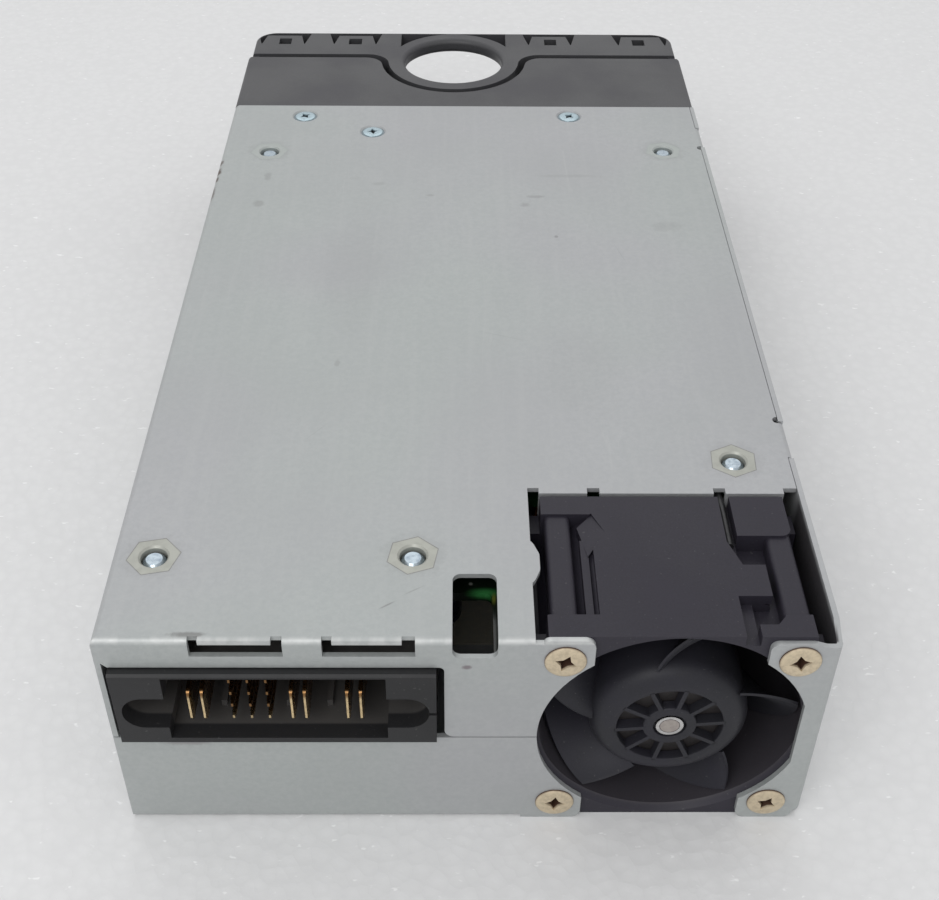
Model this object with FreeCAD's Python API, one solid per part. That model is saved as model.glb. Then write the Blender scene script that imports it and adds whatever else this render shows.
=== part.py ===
"""Hot swap server power supply, lying on its cover with the board's tray on top.

Millimetres, +Z up. Everything is drawn from the rear left bottom corner, with X to the right, Y from
the rear face to the bezel and Z up. It is centred on its footprint when it is saved.
"""
import FreeCAD
import Part
import math
import os

V = FreeCAD.Vector

# --- the whole unit ----------------------------------------------------------------------------
WIDTH = 101.5
HEIGHT = 40.0
METAL_LENGTH = 157.0
LENGTH = 196.0
SHEET = 0.8
BEND = 1.0                         # outer radius of a fold
SEAM = 0.1                         # gap between the tray's edge and the cover's wall

# --- the rear face -----------------------------------------------------------------------------
PLATE_TOP = 19.4                   # top of the cover's lower rear plate
FLANGE_LOW = 34.65                 # underside of the tray's flange over the connector
TAB_LEFT = 47.5                    # left edge of the tray's tab beside the connector
SLOTS = ((13.0, 25.7, 14.4, 24.2), (31.0, 43.6, 32.4, 41.8))   # slot and tongue, left and right
SLOT_LOW = 36.9
WINDOW = (48.6, 54.8, 12.6, 36.6)  # left, right, far edge, lower edge
EAR = 60.9                         # left edge of the tray's ear beside the fan
EAR_RELIEF = 39.4                  # bottom of the nick between the ear and the fold
RIM_TOP = 39.3                     # top of the cover's right rear flange

# --- the fan -----------------------------------------------------------------------------------
FAN = 40.0
FAN_DEPTH = 28.0
FAN_PITCH = 32.0
FAN_X = 80.0
FAN_Z = HEIGHT / 2
FAN_REAR = SHEET
FAN_FRONT = FAN_REAR + FAN_DEPTH
FAN_HOLE = 19.3                    # radius of the opening in the rear face
FAN_FLAT = 98.2                    # where that opening is cut flat on the right
FAN_GATE = (68.0, 91.7)            # the opening runs out through both sheets between these
BORE = 18.9
BELLMOUTH = 19.7
FLARE = 1.0                        # depth of the bellmouth
SADDLE = 11.2                      # half the width of the flat saddles round the duct
NEAR_FLANGE = 4.9                  # where the rear flange of the frame ends
FAR_FLANGE = 24.9                  # where its front flange starts
PILLAR = (1.9, 1.8)                # a pillar's reach outward and inward from its screw
UPPER_FLAT = (61.6, 98.0)          # what is left of the frame's upper face between its two relieved edges
PILLAR_DROP = 0.4                  # how far its outer face lies below the flanges
TIP_RADIUS = 18.5
HUB_RADIUS = 11.6
HUB_WALL = 1.1
HUB_REAR = 1.5
HUB_FRONT = 22.5
SHAFT = 1.5
BUSH = 2.0
HUB_BOSS = 3.9
BUSH_ROOM = 2.4                    # radius of the step round the bush in the hub's face
HUB_EDGE = 3.0                     # rounding of the hub's rear edge
WINDOW_RING = 7.7
SPOKES = 10
SPOKE = 0.65
SPOKE_START = 78.0                 # degrees from +X, seen from the rear
BLADES = 5
BLADE_THICK = 0.75
BLADE_START = 87.0                 # degrees from +X to the leading edge's tip
BLADE_RAKE = 17.0                  # degrees the root leads the tip
BLADE_TURN = (50.0, 62.0)          # degrees a blade covers at its root and at its tip
BLADE_LEAD = (2.4, 1.9)            # Y of the leading edge at the root and at the tip
BLADE_TRAIL = (19.5, 17.5)         # Y of the trailing edge
YOKE = (10.4, 9.7)
MAGNET = (9.65, 8.7)
STATOR = 8.3
BEARING_TUBE = 3.9
BEARING = 3.0
MOTOR_BASE = 25.6                  # rear face of the motor's base

# --- the board and what holds it -----------------------------------------------------------------
BOARD_TOP = 35.6
BOARD = 1.6
BOARD_LOW = BOARD_TOP - BOARD
STANDOFFS = ((6.0, 16.0), (42.9, 16.3), (92.0, 37.1), (9.8, 136.0), (92.5, 136.9))
STANDOFF_TURN = (12.0, 20.0, 26.0, 8.0, 17.0)
HEX_ACROSS = 6.7
STANDOFF_HOLE = 1.95
STANDOFF_BARREL = 2.75
STANDOFF_EASE = 0.3                # chamfer of the standoff's hole
TIP_DEPTH = 0.5                    # how far a board screw's tip lies below the sheet
BOARD_SCREW = 1.7
TRAY_SCREWS = ((15.9, 152.2), (31.0, 145.1), (73.6, 152.5))
SIDE_SCREWS = ((30.0, 6.0), (128.0, 6.0))      # on the left wall: Y, Z
SCREW_HEAD = 2.8
SCREW_SHANK = 1.45
SIDE_DIMPLE = (3.2, 2.4)           # radii of the dimple pressed into the left wall
DIMPLE = 3.8
DIMPLE_LOW = HEIGHT - SHEET - 0.9

# --- the output connector ------------------------------------------------------------------------
CONN_X = (1.6, 46.4)
CONN_Z = (20.0, 34.4)
CONN_REAR = -1.3
CONN_FRONT = 12.6
CONN_FLOOR = 9.5                   # bottom of the cavity
CAVITY_X = (8.8, 39.5)
CAVITY_Z = (21.0, 33.7)
WING_X = (2.6, 45.4)
WING_Z = (23.3, 29.5)
POWER_X = (11.8, 13.7, 26.1, 28.0, 33.9, 35.8)
POWER_Z = (23.3, 29.3)
SIGNAL_X = (17.65, 20.2, 22.75)
SIGNAL_Z = (23.5, 26.04, 28.58, 31.12)
SIGNAL_BACK = 23.6                 # where the lowest row turns up into the board
ROW_STEP = 1.8

# --- the bezel -----------------------------------------------------------------------------------
WALL = 2.2
DECK_FRONT = 182.0
FRAME_REAR = 183.8
FRAME_IN = 0.8                     # the frame is this much narrower than the deck on each side
FRAME_CORNER = 4.8
FRAME_EASE = 0.6                   # rounding of the frame's upper and lower edges
RIM = 0.65                         # the thin rim along the front of the lip
RIM_LOW = 36.4
RING = (48.2, 180.7)
RING_HOLE = 11.3
RING_OUTER = 14.6
RING_LOBE = 15.2                   # the lip's lobe round the ring
RING_GROOVE = 16.8
RING_UNDER = 36.8
RING_BRIDGE = 186.5                # where the lip ends beside the ring
FACE = (188.0, 190.0)              # rear and front of the frame's face plate
ALCOVE = (35.6, 60.7)              # the lip is cut away between these too
ALCOVE_WALL = 1.6
ALCOVE_BACK = 161.5
POCKETS = ((1.0, 13.8), (18.3, 30.9), (64.9, 77.6), (86.5, 100.3))
POCKET_HOLES = ((6.4, 9.3), (23.1, 26.2), (70.0, 72.9), (91.2, 94.1))
POCKET_REAR = 189.5
GRILLE_X = (64.2, 90.2)
GRILLE_Z = (4.0, 35.0)
INLET = (19.2, 19.4)               # centre of the AC inlet

# --- the release latch -----------------------------------------------------------------------------
LATCH_PIN = (96.5, 160.0)
LATCH_PIN_RADIUS = 1.0
LATCH_Z = (12.0, 28.0)
LATCH_SLOT = (169.6, 179.2)
LATCH_THICK = 1.8
LIGHTS = ((8.0, 34.0), (13.0, 34.0))
THUMB_GAP = (185.0, 9.5, 30.5)      # rear edge, lower and upper edges of the cut for a thumb
LATCH_HOOK = 1.9                   # how far the hook stands out of the side
LATCH_TAB = 193.6


# --- drawing helpers -------------------------------------------------------------------------------
def box(x0, x1, y0, y1, z0, z1):
    return Part.makeBox(x1 - x0, y1 - y0, z1 - z0, V(x0, y0, z0))


def lying(radius, x, z, y0, y1):
    """A round bar along Y."""
    return Part.makeCylinder(radius, y1 - y0, V(x, y0, z), V(0, 1, 0))


def upright(radius, x, y, z0, z1):
    """A round bar along Z."""
    return Part.makeCylinder(radius, z1 - z0, V(x, y, z0))


def across(radius, y, z, x0, x1):
    """A round bar along X."""
    return Part.makeCylinder(radius, x1 - x0, V(x0, y, z), V(1, 0, 0))


def tube_y(outer, inner, x, z, y0, y1):
    return lying(outer, x, z, y0, y1).cut(lying(inner, x, z, y0 - 1, y1 + 1))


def lift(axis, level):
    """Turns the two coordinates of an outline into a point, at a level along the third axis."""
    if axis == "x":
        return lambda a, b: V(level, a, b)
    if axis == "y":
        return lambda a, b: V(a, level, b)
    return lambda a, b: V(a, b, level)


def corner(before, here, after, radius):
    """The start, middle and end of the arc that rounds one corner of an outline."""
    to_before = (before - here).normalize()
    to_after = (after - here).normalize()
    half = to_before.getAngle(to_after) / 2
    reach = radius / math.tan(half)
    centre = here + (to_before + to_after).normalize() * (radius / math.sin(half))
    middle = centre + (here - centre).normalize() * radius
    return here + to_before * reach, middle, here + to_after * reach


def outline(corners, axis, level):
    """A closed wire through corners (a, b) or (a, b, radius)."""
    up = lift(axis, level)
    flat = [V(c[0], c[1], 0) for c in corners]
    radii = [c[2] if len(c) > 2 else 0 for c in corners]
    arcs = []
    for i, here in enumerate(flat):
        if radii[i] > 0:
            arcs.append(corner(flat[i - 1], here, flat[(i + 1) % len(flat)], radii[i]))
        else:
            arcs.append((here, None, here))
    edges = []
    for i, (start, middle, end) in enumerate(arcs):
        if middle is not None:
            ends = [up(p.x, p.y) for p in (start, middle, end)]
            edges.append(Part.Arc(*ends).toShape())
        following = arcs[(i + 1) % len(arcs)][0]
        if (following - end).Length > 1e-6:
            edges.append(Part.makeLine(up(end.x, end.y), up(following.x, following.y)))
    return Part.Wire(edges)


def slab(corners, axis, low, high):
    """The outline, made solid between two levels along its axis."""
    face = Part.Face(outline(corners, axis, low))
    return face.extrude(lift(axis, high - low)(0, 0))


def rounded(a0, a1, b0, b1, radius, axis, low, high):
    corners = [(a0, b0, radius), (a1, b0, radius), (a1, b1, radius), (a0, b1, radius)]
    return slab(corners, axis, low, high)


def folded(path, axis, low, high, side=1, sheet=SHEET, bend=BEND):
    """Sheet folded along an open path of its outer face, as a solid between two levels.

    The sheet's thickness lies to the left of the path, or to its right for side -1.
    """
    points = [V(a, b, 0) for a, b in path]
    headings = [(q - p).normalize() for p, q in zip(points, points[1:])]
    normals = [V(-h.y, h.x, 0) * side for h in headings]
    inner = []
    for i, here in enumerate(points):
        near = normals[max(i - 1, 0)]
        far = normals[min(i, len(normals) - 1)]
        inner.append(here + (near + far) * (sheet / (1 + near.dot(far))))
    last = len(points) - 1
    outside = [(p.x, p.y, bend if 0 < i < last else 0) for i, p in enumerate(points)]
    inside = [(p.x, p.y, bend - sheet if 0 < i < last else 0) for i, p in enumerate(inner)]
    return slab(outside + inside[::-1], axis, low, high)


def hexagon(x, y, turn, z0, z1):
    radius = HEX_ACROSS / 2 / math.cos(math.radians(30))
    corners = []
    for k in range(6):
        angle = math.radians(turn + 60 * k)
        corners.append((x + radius * math.cos(angle), y + radius * math.sin(angle)))
    return slab(corners, "z", z0, z1)


def join(shapes):
    first, *rest = shapes
    return first.fuse(rest).removeSplitter() if rest else first


def group(shapes):
    return Part.makeCompound(shapes)


def between(pair, share):
    """The value part of the way from the first of a pair to the second."""
    return pair[0] + (pair[1] - pair[0]) * share


def fan_corners():
    half = FAN_PITCH / 2
    return [(FAN_X + sx * half, FAN_Z + sz * half) for sz in (1, -1) for sx in (-1, 1)]


# --- the folded sheets -------------------------------------------------------------------------------
def fan_opening():
    """What the rear face loses for the fan: a circle with one flat, open to the sheets above and below."""
    circle = lying(FAN_HOLE, FAN_X, FAN_Z, -1, FAN_REAR + 0.5)
    circle = circle.cut(box(FAN_FLAT, WIDTH, -2, FAN_REAR + 1, 0, HEIGHT))
    gate = box(FAN_GATE[0], FAN_GATE[1], -1, FAN_REAR + 0.5, -1, HEIGHT + 1)
    return circle.fuse(gate)


def tray_fan_cut():
    """The opening over the fan, with its bulge on the left edge and the notches beside the two flaps."""
    left, far, notch = 59.8, 29.5, 30.7
    opening = box(left, WIDTH, SHEET + 0.1, far, HEIGHT - 5, HEIGHT + 1)
    bulge = slab([(left - 1, 10.4), (left, 10.4, 2), (61.0, 13.4, 2), (61.0, 16.6, 2), (left, 19.8, 2),
                  (left - 1, 19.8)], "z", HEIGHT - 6, HEIGHT + 2)
    notches = [box(a, b, far - 1, notch, HEIGHT - 5, HEIGHT + 1)
               for a, b in ((left, 61.5), (68.8, 70.7), (87.9, 89.7), (98.5, WIDTH))]
    return opening.cut(bulge).fuse(notches)


def tray_flaps():
    """Two flaps folded down behind the fan, and two over the cover's wall."""
    behind = [folded([(33.0, HEIGHT), (29.5, HEIGHT), (29.5, HEIGHT - 5)], "x", a, b, 1)
              for a, b in ((61.5, 68.8), (89.7, 98.5))]
    beside = [folded([(WIDTH - 5, HEIGHT), (WIDTH, HEIGHT), (WIDTH, HEIGHT - 6)], "y", a, b, -1)
              for a, b in ((38.0, 46.5), (138.8, 147.0))]
    return behind + beside


def screw_dimple(x, y):
    """The sheet pressed down round a countersunk screw."""
    return Part.makeCone(DIMPLE - 1.2, DIMPLE, HEIGHT - SHEET - DIMPLE_LOW, V(x, y, DIMPLE_LOW))


def side_cone(y, z, near, grow, low, high):
    """A cone along X that narrows inward like the left wall's dimple, grown by a margin."""
    wide, narrow = SIDE_DIMPLE
    start = wide + grow - (low - near)
    return Part.makeCone(start, start - (high - low), high - low, V(low, y, z), V(1, 0, 0))


def rear_flange(low):
    """The tray's flange over the connector, its tab and the ear beside the fan."""
    end = 59.8
    flange = folded([(0, low), (0, HEIGHT), (5, HEIGHT)], "x", 0, end, -1)
    flange = flange.common(slab([(0, 0), (0, HEIGHT, BEND), (WIDTH, HEIGHT), (WIDTH, 0)], "y", -1, 8))
    web = box(end - 1, EAR + 1, 0, SHEET, low, EAR_RELIEF)
    ear = slab([(EAR, low), (FAN_GATE[0], low), (FAN_GATE[0], HEIGHT, 1.5), (EAR, HEIGHT, 1.0)],
               "y", 0, SHEET)
    return [flange, web, ear]


def chassis_tray():
    """Top sheet, left wall and rear flange, folded from one sheet."""
    edge = WIDTH - SHEET - SEAM
    tab_low = PLATE_TOP + 0.2
    skin = folded([(0, SHEET), (0, HEIGHT), (edge, HEIGHT)], "y", 0, METAL_LENGTH, -1)
    skin = skin.cut([box(-1, WIDTH, -1, BEND, HEIGHT - BEND - 0.6, HEIGHT + 1),
                     box(-1, WIDTH, -1, BEND + SEAM, 0, tab_low)])
    body = skin.fuse(rear_flange(tab_low) + tray_flaps())
    over_connector = slab([(TAB_LEFT, -1), (TAB_LEFT, FLANGE_LOW, 0.8), (1.6, FLANGE_LOW),
                           (SHEET, FLANGE_LOW + 0.8), (SHEET, -1)], "y", -1, SHEET + 0.05)
    ease = 1.4
    tab_corner = box(TAB_LEFT - 0.1, TAB_LEFT + ease, -1, SHEET + 0.05, tab_low - 0.1, tab_low + ease)
    tab_corner = tab_corner.cut(lying(ease, TAB_LEFT + ease, tab_low + ease, -2, 2))
    cuts = [over_connector, tab_corner, fan_opening(), tray_fan_cut()]
    for left, right, tongue_left, tongue_right in SLOTS:
        cuts.append(box(left, right, -1, SHEET + 0.5, SLOT_LOW, HEIGHT - SHEET))
        cuts.append(box(left, tongue_left, -1, 0.9, SLOT_LOW, HEIGHT + 1))
        cuts.append(box(tongue_right, right, -1, 0.9, SLOT_LOW, HEIGHT + 1))
    left, right, far, low = WINDOW
    cuts.append(rounded(left, right, -5, far, 1.2, "z", HEIGHT - 2, HEIGHT + 1))
    cuts.append(rounded(left, right, low, HEIGHT + 5, 1.2, "y", -1, 2))
    body = body.cut(cuts)
    tongues = [box(a, b, 0, 2.5, HEIGHT - SHEET, HEIGHT) for _, _, a, b in SLOTS]
    dimples = [screw_dimple(x, y) for x, y in TRAY_SCREWS]
    dimples += [side_cone(y, z, SHEET, 0, SHEET, 2 * SHEET) for y, z in SIDE_SCREWS]
    body = join([body] + tongues + dimples)
    holes = [hexagon(x, y, turn, HEIGHT - 2, HEIGHT + 1) for (x, y), turn in zip(STANDOFFS, STANDOFF_TURN)]
    holes += [placed(screw_room(), x, y, HEIGHT, "up") for x, y in TRAY_SCREWS]
    holes += [placed(screw_room(), 0, y, z, "left") for y, z in SIDE_SCREWS]
    for y in (47.1, 138.2):
        holes.append(upright(0.8, edge, y, HEIGHT - 2, HEIGHT + 1))
    for x, z in fan_corners()[:1]:
        holes.append(lying(SCREW_SHANK + 0.2, x, z, -1, 2))
    return body.cut(holes)


def chassis_cover():
    """Underside, right wall, lower rear plate and right rear flange, folded from one sheet."""
    base = folded([(0, 0), (WIDTH, 0), (WIDTH, HEIGHT)], "y", BEND, METAL_LENGTH)
    plate = folded([(0, PLATE_TOP), (0, 0), (5, 0)], "x", 0, 60.0)
    plate_tab = slab([(59.0, 0), (FAN_GATE[0], 0, 1.5), (FAN_GATE[0], PLATE_TOP), (59.0, PLATE_TOP)],
                     "y", 0, SHEET)
    flange = folded([(FAN_GATE[1], 0), (WIDTH, 0), (WIDTH, 5)], "z", 0, HEIGHT)
    wall_top = RIM_TOP - 0.6
    rim = slab([(FAN_GATE[1], 0, 1.5), (100.0, 0, 1.2), (100.4, 1.8, 0.4), (WIDTH + 1, 2.0),
                (WIDTH + 1, wall_top), (99.4, wall_top, 1.0), (97.6, RIM_TOP, 1.5),
                (FAN_GATE[1], RIM_TOP, 1.2)], "y", -1, 6)
    hem_x = SHEET + 0.05
    hem = folded([(6, 0), (hem_x, 0), (hem_x, 11.0)], "y", 8, METAL_LENGTH - 8, -1)
    dimples = [side_cone(y, z, 2 * SHEET, SHEET, 2 * SHEET, 3 * SHEET) for y, z in SIDE_SCREWS]
    body = join([base, plate, plate_tab, flange.common(rim), hem] + dimples)
    slope = slab([(-1, wall_top), (1.3, wall_top), (4.5, HEIGHT), (4.5, HEIGHT + 1), (-1, HEIGHT + 1)],
                 "x", WIDTH - SHEET - 0.1, WIDTH + 1)
    cuts = [fan_opening(), slope, box(60.0, WIDTH - BEND - 0.1, SHEET, 29.6, -1, 2)]
    cuts += [box(WIDTH - 2, WIDTH + 1, a - 0.3, b + 0.3, HEIGHT - 6.3, HEIGHT + 1)
             for a, b in ((38.0, 46.5), (138.8, 147.0))]
    for y, z in SIDE_SCREWS:
        cuts.append(side_cone(y, z, SHEET, 0.1, SHEET, 2 * SHEET + 0.05))
        cuts.append(across(SCREW_SHANK + 0.1, y, z, 0, 3))
    for x, z in fan_corners()[1:]:
        cuts.append(lying(SCREW_SHANK + 0.2, x, z, -1, 2))
    return body.cut(cuts)


# --- fasteners -----------------------------------------------------------------------------------------
def placed(shape, x, y, z, facing):
    """A screw drawn at the origin, moved into place with its head facing up, left or rear."""
    if facing == "left":
        shape.rotate(V(0, 0, 0), V(0, 1, 0), -90)
    elif facing == "rear":
        shape.rotate(V(0, 0, 0), V(1, 0, 0), 90)
    shape.translate(V(x, y, z))
    return shape


def cross_recess(reach, narrow, wide, low, turn):
    """A cross whose arms widen outward, to cut a screw's head with."""
    arms = []
    for side in (0, 90):
        arm = slab([(-reach, -wide / 2), (0, -narrow / 2), (reach, -wide / 2), (reach, wide / 2),
                    (0, narrow / 2), (-reach, wide / 2)], "z", low, 2)
        arm.rotate(V(0, 0, 0), V(0, 0, 1), side + turn)
        arms.append(arm)
    return arms[0].fuse(arms[1])


def screw_room():
    """The room a countersunk screw takes in a sheet."""
    depth = SCREW_HEAD - SCREW_SHANK
    head = Part.makeCone(SCREW_SHANK, SCREW_HEAD, depth, V(0, 0, -depth))
    return head.fuse([upright(SCREW_HEAD, 0, 0, 0, 1), upright(SCREW_SHANK + 0.1, 0, 0, -3, 0)])


def countersunk(length, turn):
    depth = SCREW_HEAD - SCREW_SHANK
    head = Part.makeCone(SCREW_SHANK, SCREW_HEAD, depth, V(0, 0, -depth))
    screw = head.fuse(upright(SCREW_SHANK, 0, 0, -length, -depth)).removeSplitter()
    return screw.cut(cross_recess(1.3, 0.5, 0.5, -1.0, turn))


def chassis_screws():
    """Countersunk screws: three in the tray's top sheet and two in its left wall."""
    turns = (35.0, 10.0, 55.0)
    screws = [placed(countersunk(5.2, turn), x, y, HEIGHT, "up") for (x, y), turn in zip(TRAY_SCREWS, turns)]
    screws += [placed(countersunk(4.0, 20.0), 0, y, z, "left") for y, z in SIDE_SCREWS]
    return group(screws)


def fan_screws():
    """Four self-tapping screws with low heads on the rear face."""
    screws = []
    for (x, z), turn in zip(fan_corners(), (20.0, -10.0, 3.0, 25.0)):
        head = Part.makeCone(2.9, 2.45, 0.5)
        screw = head.fuse(upright(SCREW_SHANK, 0, 0, -9, 0)).removeSplitter()
        screws.append(placed(screw.cut(cross_recess(1.4, 0.6, 0.85, -0.7, turn)), x, 0, z, "rear"))
    return group(screws)


def board_standoffs():
    """Five hexagonal standoffs clinched into the tray."""
    posts = []
    for (x, y), turn in zip(STANDOFFS, STANDOFF_TURN):
        head = hexagon(x, y, turn, HEIGHT - SHEET, HEIGHT)
        barrel = upright(STANDOFF_BARREL, x, y, BOARD_TOP, HEIGHT - SHEET)
        post = head.fuse(barrel).removeSplitter()
        ease = Part.makeCone(STANDOFF_HOLE, STANDOFF_HOLE + STANDOFF_EASE, STANDOFF_EASE,
                             V(x, y, HEIGHT - STANDOFF_EASE))
        posts.append(post.cut([upright(STANDOFF_HOLE, x, y, BOARD_TOP - 1, HEIGHT + 1), ease]))
    return group(posts)


def board_screws():
    """Pan heads under the board; their tips show in the standoffs."""
    screws = []
    chamfer = 0.5
    for x, y in STANDOFFS:
        top = HEIGHT - TIP_DEPTH - chamfer
        head = upright(3.0, x, y, BOARD_LOW - 2.0, BOARD_LOW)
        shank = upright(BOARD_SCREW, x, y, BOARD_LOW, top)
        tip = Part.makeCone(BOARD_SCREW, BOARD_SCREW - chamfer, chamfer, V(x, y, top))
        screws.append(head.fuse([shank, tip]).removeSplitter())
    return group(screws)


# --- the fan -------------------------------------------------------------------------------------------
def fan_duct():
    """The frame before it is bored: flanges, the duct's barrel, flat saddles and four pillars."""
    side = FAN / 2
    square = rounded(FAN_X - side, FAN_X + side, 0, FAN, 2.2, "y", FAN_REAR, FAN_FRONT)
    parts = [lying(22.0, FAN_X, FAN_Z, FAN_REAR, FAN_FRONT),
             box(FAN_X - SADDLE, FAN_X + SADDLE, FAN_REAR, FAN_FRONT, 0, FAN),
             box(FAN_X - side, FAN_X + side, FAN_REAR, FAN_FRONT, FAN_Z - SADDLE, FAN_Z + SADDLE)]
    outward, inward = PILLAR
    for x, z in fan_corners():
        sx = 1 if x > FAN_X else -1
        sz = 1 if z > FAN_Z else -1
        xs = sorted((x - sx * inward, x + sx * outward))
        zs = sorted((z - sz * 2.4, z + sz * (4.0 - PILLAR_DROP)))
        parts.append(rounded(*xs, *zs, 0.8, "y", FAN_REAR, FAN_FRONT))
    middle = join(parts).common(square)
    ends = [rounded(FAN_X - side, FAN_X + side, 0, FAN, 2.2, "y", a, b)
            for a, b in ((FAN_REAR, NEAR_FLANGE), (FAR_FLANGE, FAN_FRONT))]
    return join([middle] + ends)


def wire_guide():
    """The lead's channel on the upper right: what is cut, and the tongue and the block that stand in it."""
    shallow, deep, over = HEIGHT - 2.2, HEIGHT - 3.2, HEIGHT + 1
    channel = [(88.3, FAN_FRONT + 1), (90.0, FAN_FRONT + 1), (90.0, 20.4), (94.2, 20.4), (94.2, 14.5),
               (89.9, 14.5), (88.3, 19.2)]
    recess = [(88.3, 8.4), (88.3, FAN_REAR - 1), (90.4, FAN_REAR - 1), (90.4, 3.1), (93.0, 3.1),
              (94.2, 4.6), (94.2, 8.4)]
    cuts = [slab(channel, "z", shallow, over),
            slab(channel, "z", deep, over).common(box(90.0, 95.0, 0, FAN_FRONT, deep, over)),
            slab(recess, "z", HEIGHT - 1.8, over),
            slab(recess, "z", deep, over).common(box(90.4, 95.0, 0, FAN_FRONT, deep, over)),
            box(93.1, 94.2, 8.3, 14.6, deep, over),
            box(UPPER_FLAT[1], FAN_X + FAN / 2 + 1, -1, FAN_FRONT + 1, HEIGHT - 4, over),
            box(FAN_X - FAN / 2 - 1, UPPER_FLAT[0], -1, FAN_FRONT + 1, HEIGHT - 4, over)]
    tongue = box(88.0, 93.1, 8.4, 14.5, HEIGHT - 1.6, HEIGHT)
    block = slab([(90.0, 20.4, 0.8), (98.0, 20.4, 1.5), (98.0, FAN_FRONT, 1.2), (90.0, FAN_FRONT)],
                 "z", HEIGHT - 5, HEIGHT)
    return cuts, [tongue, block]


def duct_facet():
    """A low rib in the groove beside the upper saddle, and the sloping lozenge that it runs into."""
    lozenge = [(69.0, 25.1), (70.8, 21.0), (68.0, 16.6), (66.8, 22.8)]
    prism = slab(lozenge, "z", HEIGHT - 4, HEIGHT)
    rib = box(67.0, 68.1, NEAR_FLANGE - 0.1, 20.0, HEIGHT - 5, HEIGHT - 0.7)
    slope = slab([(66.0, HEIGHT - 1.0), (70.8, HEIGHT), (70.8, HEIGHT + 1), (66.0, HEIGHT + 1)],
                 "y", 15.0, 26.0)
    return [prism, rib], slope.common(slab(lozenge, "z", HEIGHT - 5, HEIGHT + 2))


def motor_struts():
    """Four slanted struts that carry the motor's base inside the duct's front end."""
    bars = []
    for k in range(4):
        bar = box(HUB_RADIUS - 2, BORE + 0.6, FAN_FRONT - 2.6, FAN_FRONT, -1.1, 1.1)
        bar.translate(V(FAN_X, 0, FAN_Z))
        bar.rotate(V(FAN_X, 0, FAN_Z), V(0, 1, 0), 20 + 90 * k)
        bars.append(bar)
    return bars


def fan_frame():
    """Square frame with a round duct, scooped sides, corner pillars and the motor's base and tube."""
    bore = lying(BORE, FAN_X, FAN_Z, FAN_REAR - 1, FAN_FRONT + 1)
    flare = Part.makeCone(BELLMOUTH, BORE, FLARE, V(FAN_X, FAN_REAR, FAN_Z), V(0, 1, 0))
    cuts, adds = wire_guide()
    facet, slope = duct_facet()
    body = fan_duct().fuse(facet).cut([slope] + cuts).fuse(adds).cut([bore, flare])
    base = lying(HUB_RADIUS, FAN_X, FAN_Z, FAN_FRONT - 1.6, FAN_FRONT)
    rim = tube_y(HUB_RADIUS, HUB_RADIUS - 1.0, FAN_X, FAN_Z, MOTOR_BASE - 1.6, FAN_FRONT)
    tube = lying(BEARING_TUBE, FAN_X, FAN_Z, 8.0, FAN_FRONT - 1.6)
    body = join([body, base, rim, tube] + motor_struts())
    seats = lying(BEARING, FAN_X, FAN_Z, 7, FAN_FRONT - 1.8)
    return body.cut([seats] + [lying(SCREW_SHANK, x, z, FAN_REAR - 1, FAN_FRONT + 1)
                               for x, z in fan_corners()])


def blade():
    """One blade: a swept surface from inside the hub to beyond the tip, thickened and trimmed round."""
    rows = []
    for share in (-0.18, 0.1, 0.4, 0.7, 1.0, 1.16):
        radius = between((HUB_RADIUS, TIP_RADIUS), share)
        row = []
        for k in range(9):
            along = k / 8
            turn = BLADE_START + BLADE_RAKE * (1 - share) - between(BLADE_TURN, share) * along
            angle = math.radians(turn)
            edges = (between(BLADE_LEAD, share), between(BLADE_TRAIL, share))
            y = between(edges, 0.55 * along + 0.45 * along ** 2)
            row.append(V(FAN_X + radius * math.cos(angle), y, FAN_Z + radius * math.sin(angle)))
        rows.append(row)
    surface = Part.BSplineSurface()
    surface.interpolate(rows)
    vane = surface.toShape().makeOffsetShape(BLADE_THICK, 0.01, fill=True)
    return vane.common(tube_y(TIP_RADIUS, HUB_RADIUS - 0.5, FAN_X, FAN_Z, 1.5, HUB_FRONT))


def hub_windows():
    """The ring of openings in the hub's face, between thin spokes."""
    y0, y1 = HUB_REAR - 1, HUB_REAR + 3
    bars = []
    for k in range(SPOKES // 2):
        bar = box(-WINDOW_RING - 1, WINDOW_RING + 1, y0 - 1, y1 + 1, -SPOKE / 2, SPOKE / 2)
        bar.translate(V(FAN_X, 0, FAN_Z))
        bar.rotate(V(FAN_X, 0, FAN_Z), V(0, 1, 0), -SPOKE_START - 360 / SPOKES * k)
        bars.append(bar)
    return tube_y(WINDOW_RING, HUB_BOSS, FAN_X, FAN_Z, y0, y1).cut(bars)


def fan_impeller():
    """Hub with ten windows in its face and five swept blades."""
    shell = lying(HUB_RADIUS, FAN_X, FAN_Z, HUB_REAR, HUB_FRONT)
    rear_edge = [e for e in shell.Edges if e.BoundBox.YMax < HUB_REAR + 0.01]
    shell = shell.makeFillet(HUB_EDGE, rear_edge)
    hollow = lying(HUB_RADIUS - HUB_WALL, FAN_X, FAN_Z, HUB_REAR + 1.6, HUB_FRONT + 1)
    bush = lying(BUSH, FAN_X, FAN_Z, HUB_REAR - 1, HUB_REAR + 5)
    step = lying(BUSH_ROOM, FAN_X, FAN_Z, HUB_REAR - 1, HUB_REAR + 0.8)
    vanes = []
    first = blade()
    for k in range(BLADES):
        vane = first.copy()
        vane.rotate(V(FAN_X, 0, FAN_Z), V(0, 1, 0), 360 / BLADES * k)
        vanes.append(vane)
    return join([shell] + vanes).cut([hollow, bush, step, hub_windows()])


def fan_hub_bush():
    """Metal bush between the impeller and the shaft."""
    return tube_y(BUSH, SHAFT, FAN_X, FAN_Z, HUB_REAR + 0.1, 5.5)


def fan_shaft():
    return lying(SHAFT, FAN_X, FAN_Z, HUB_REAR + 0.1, 25.4)


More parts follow.
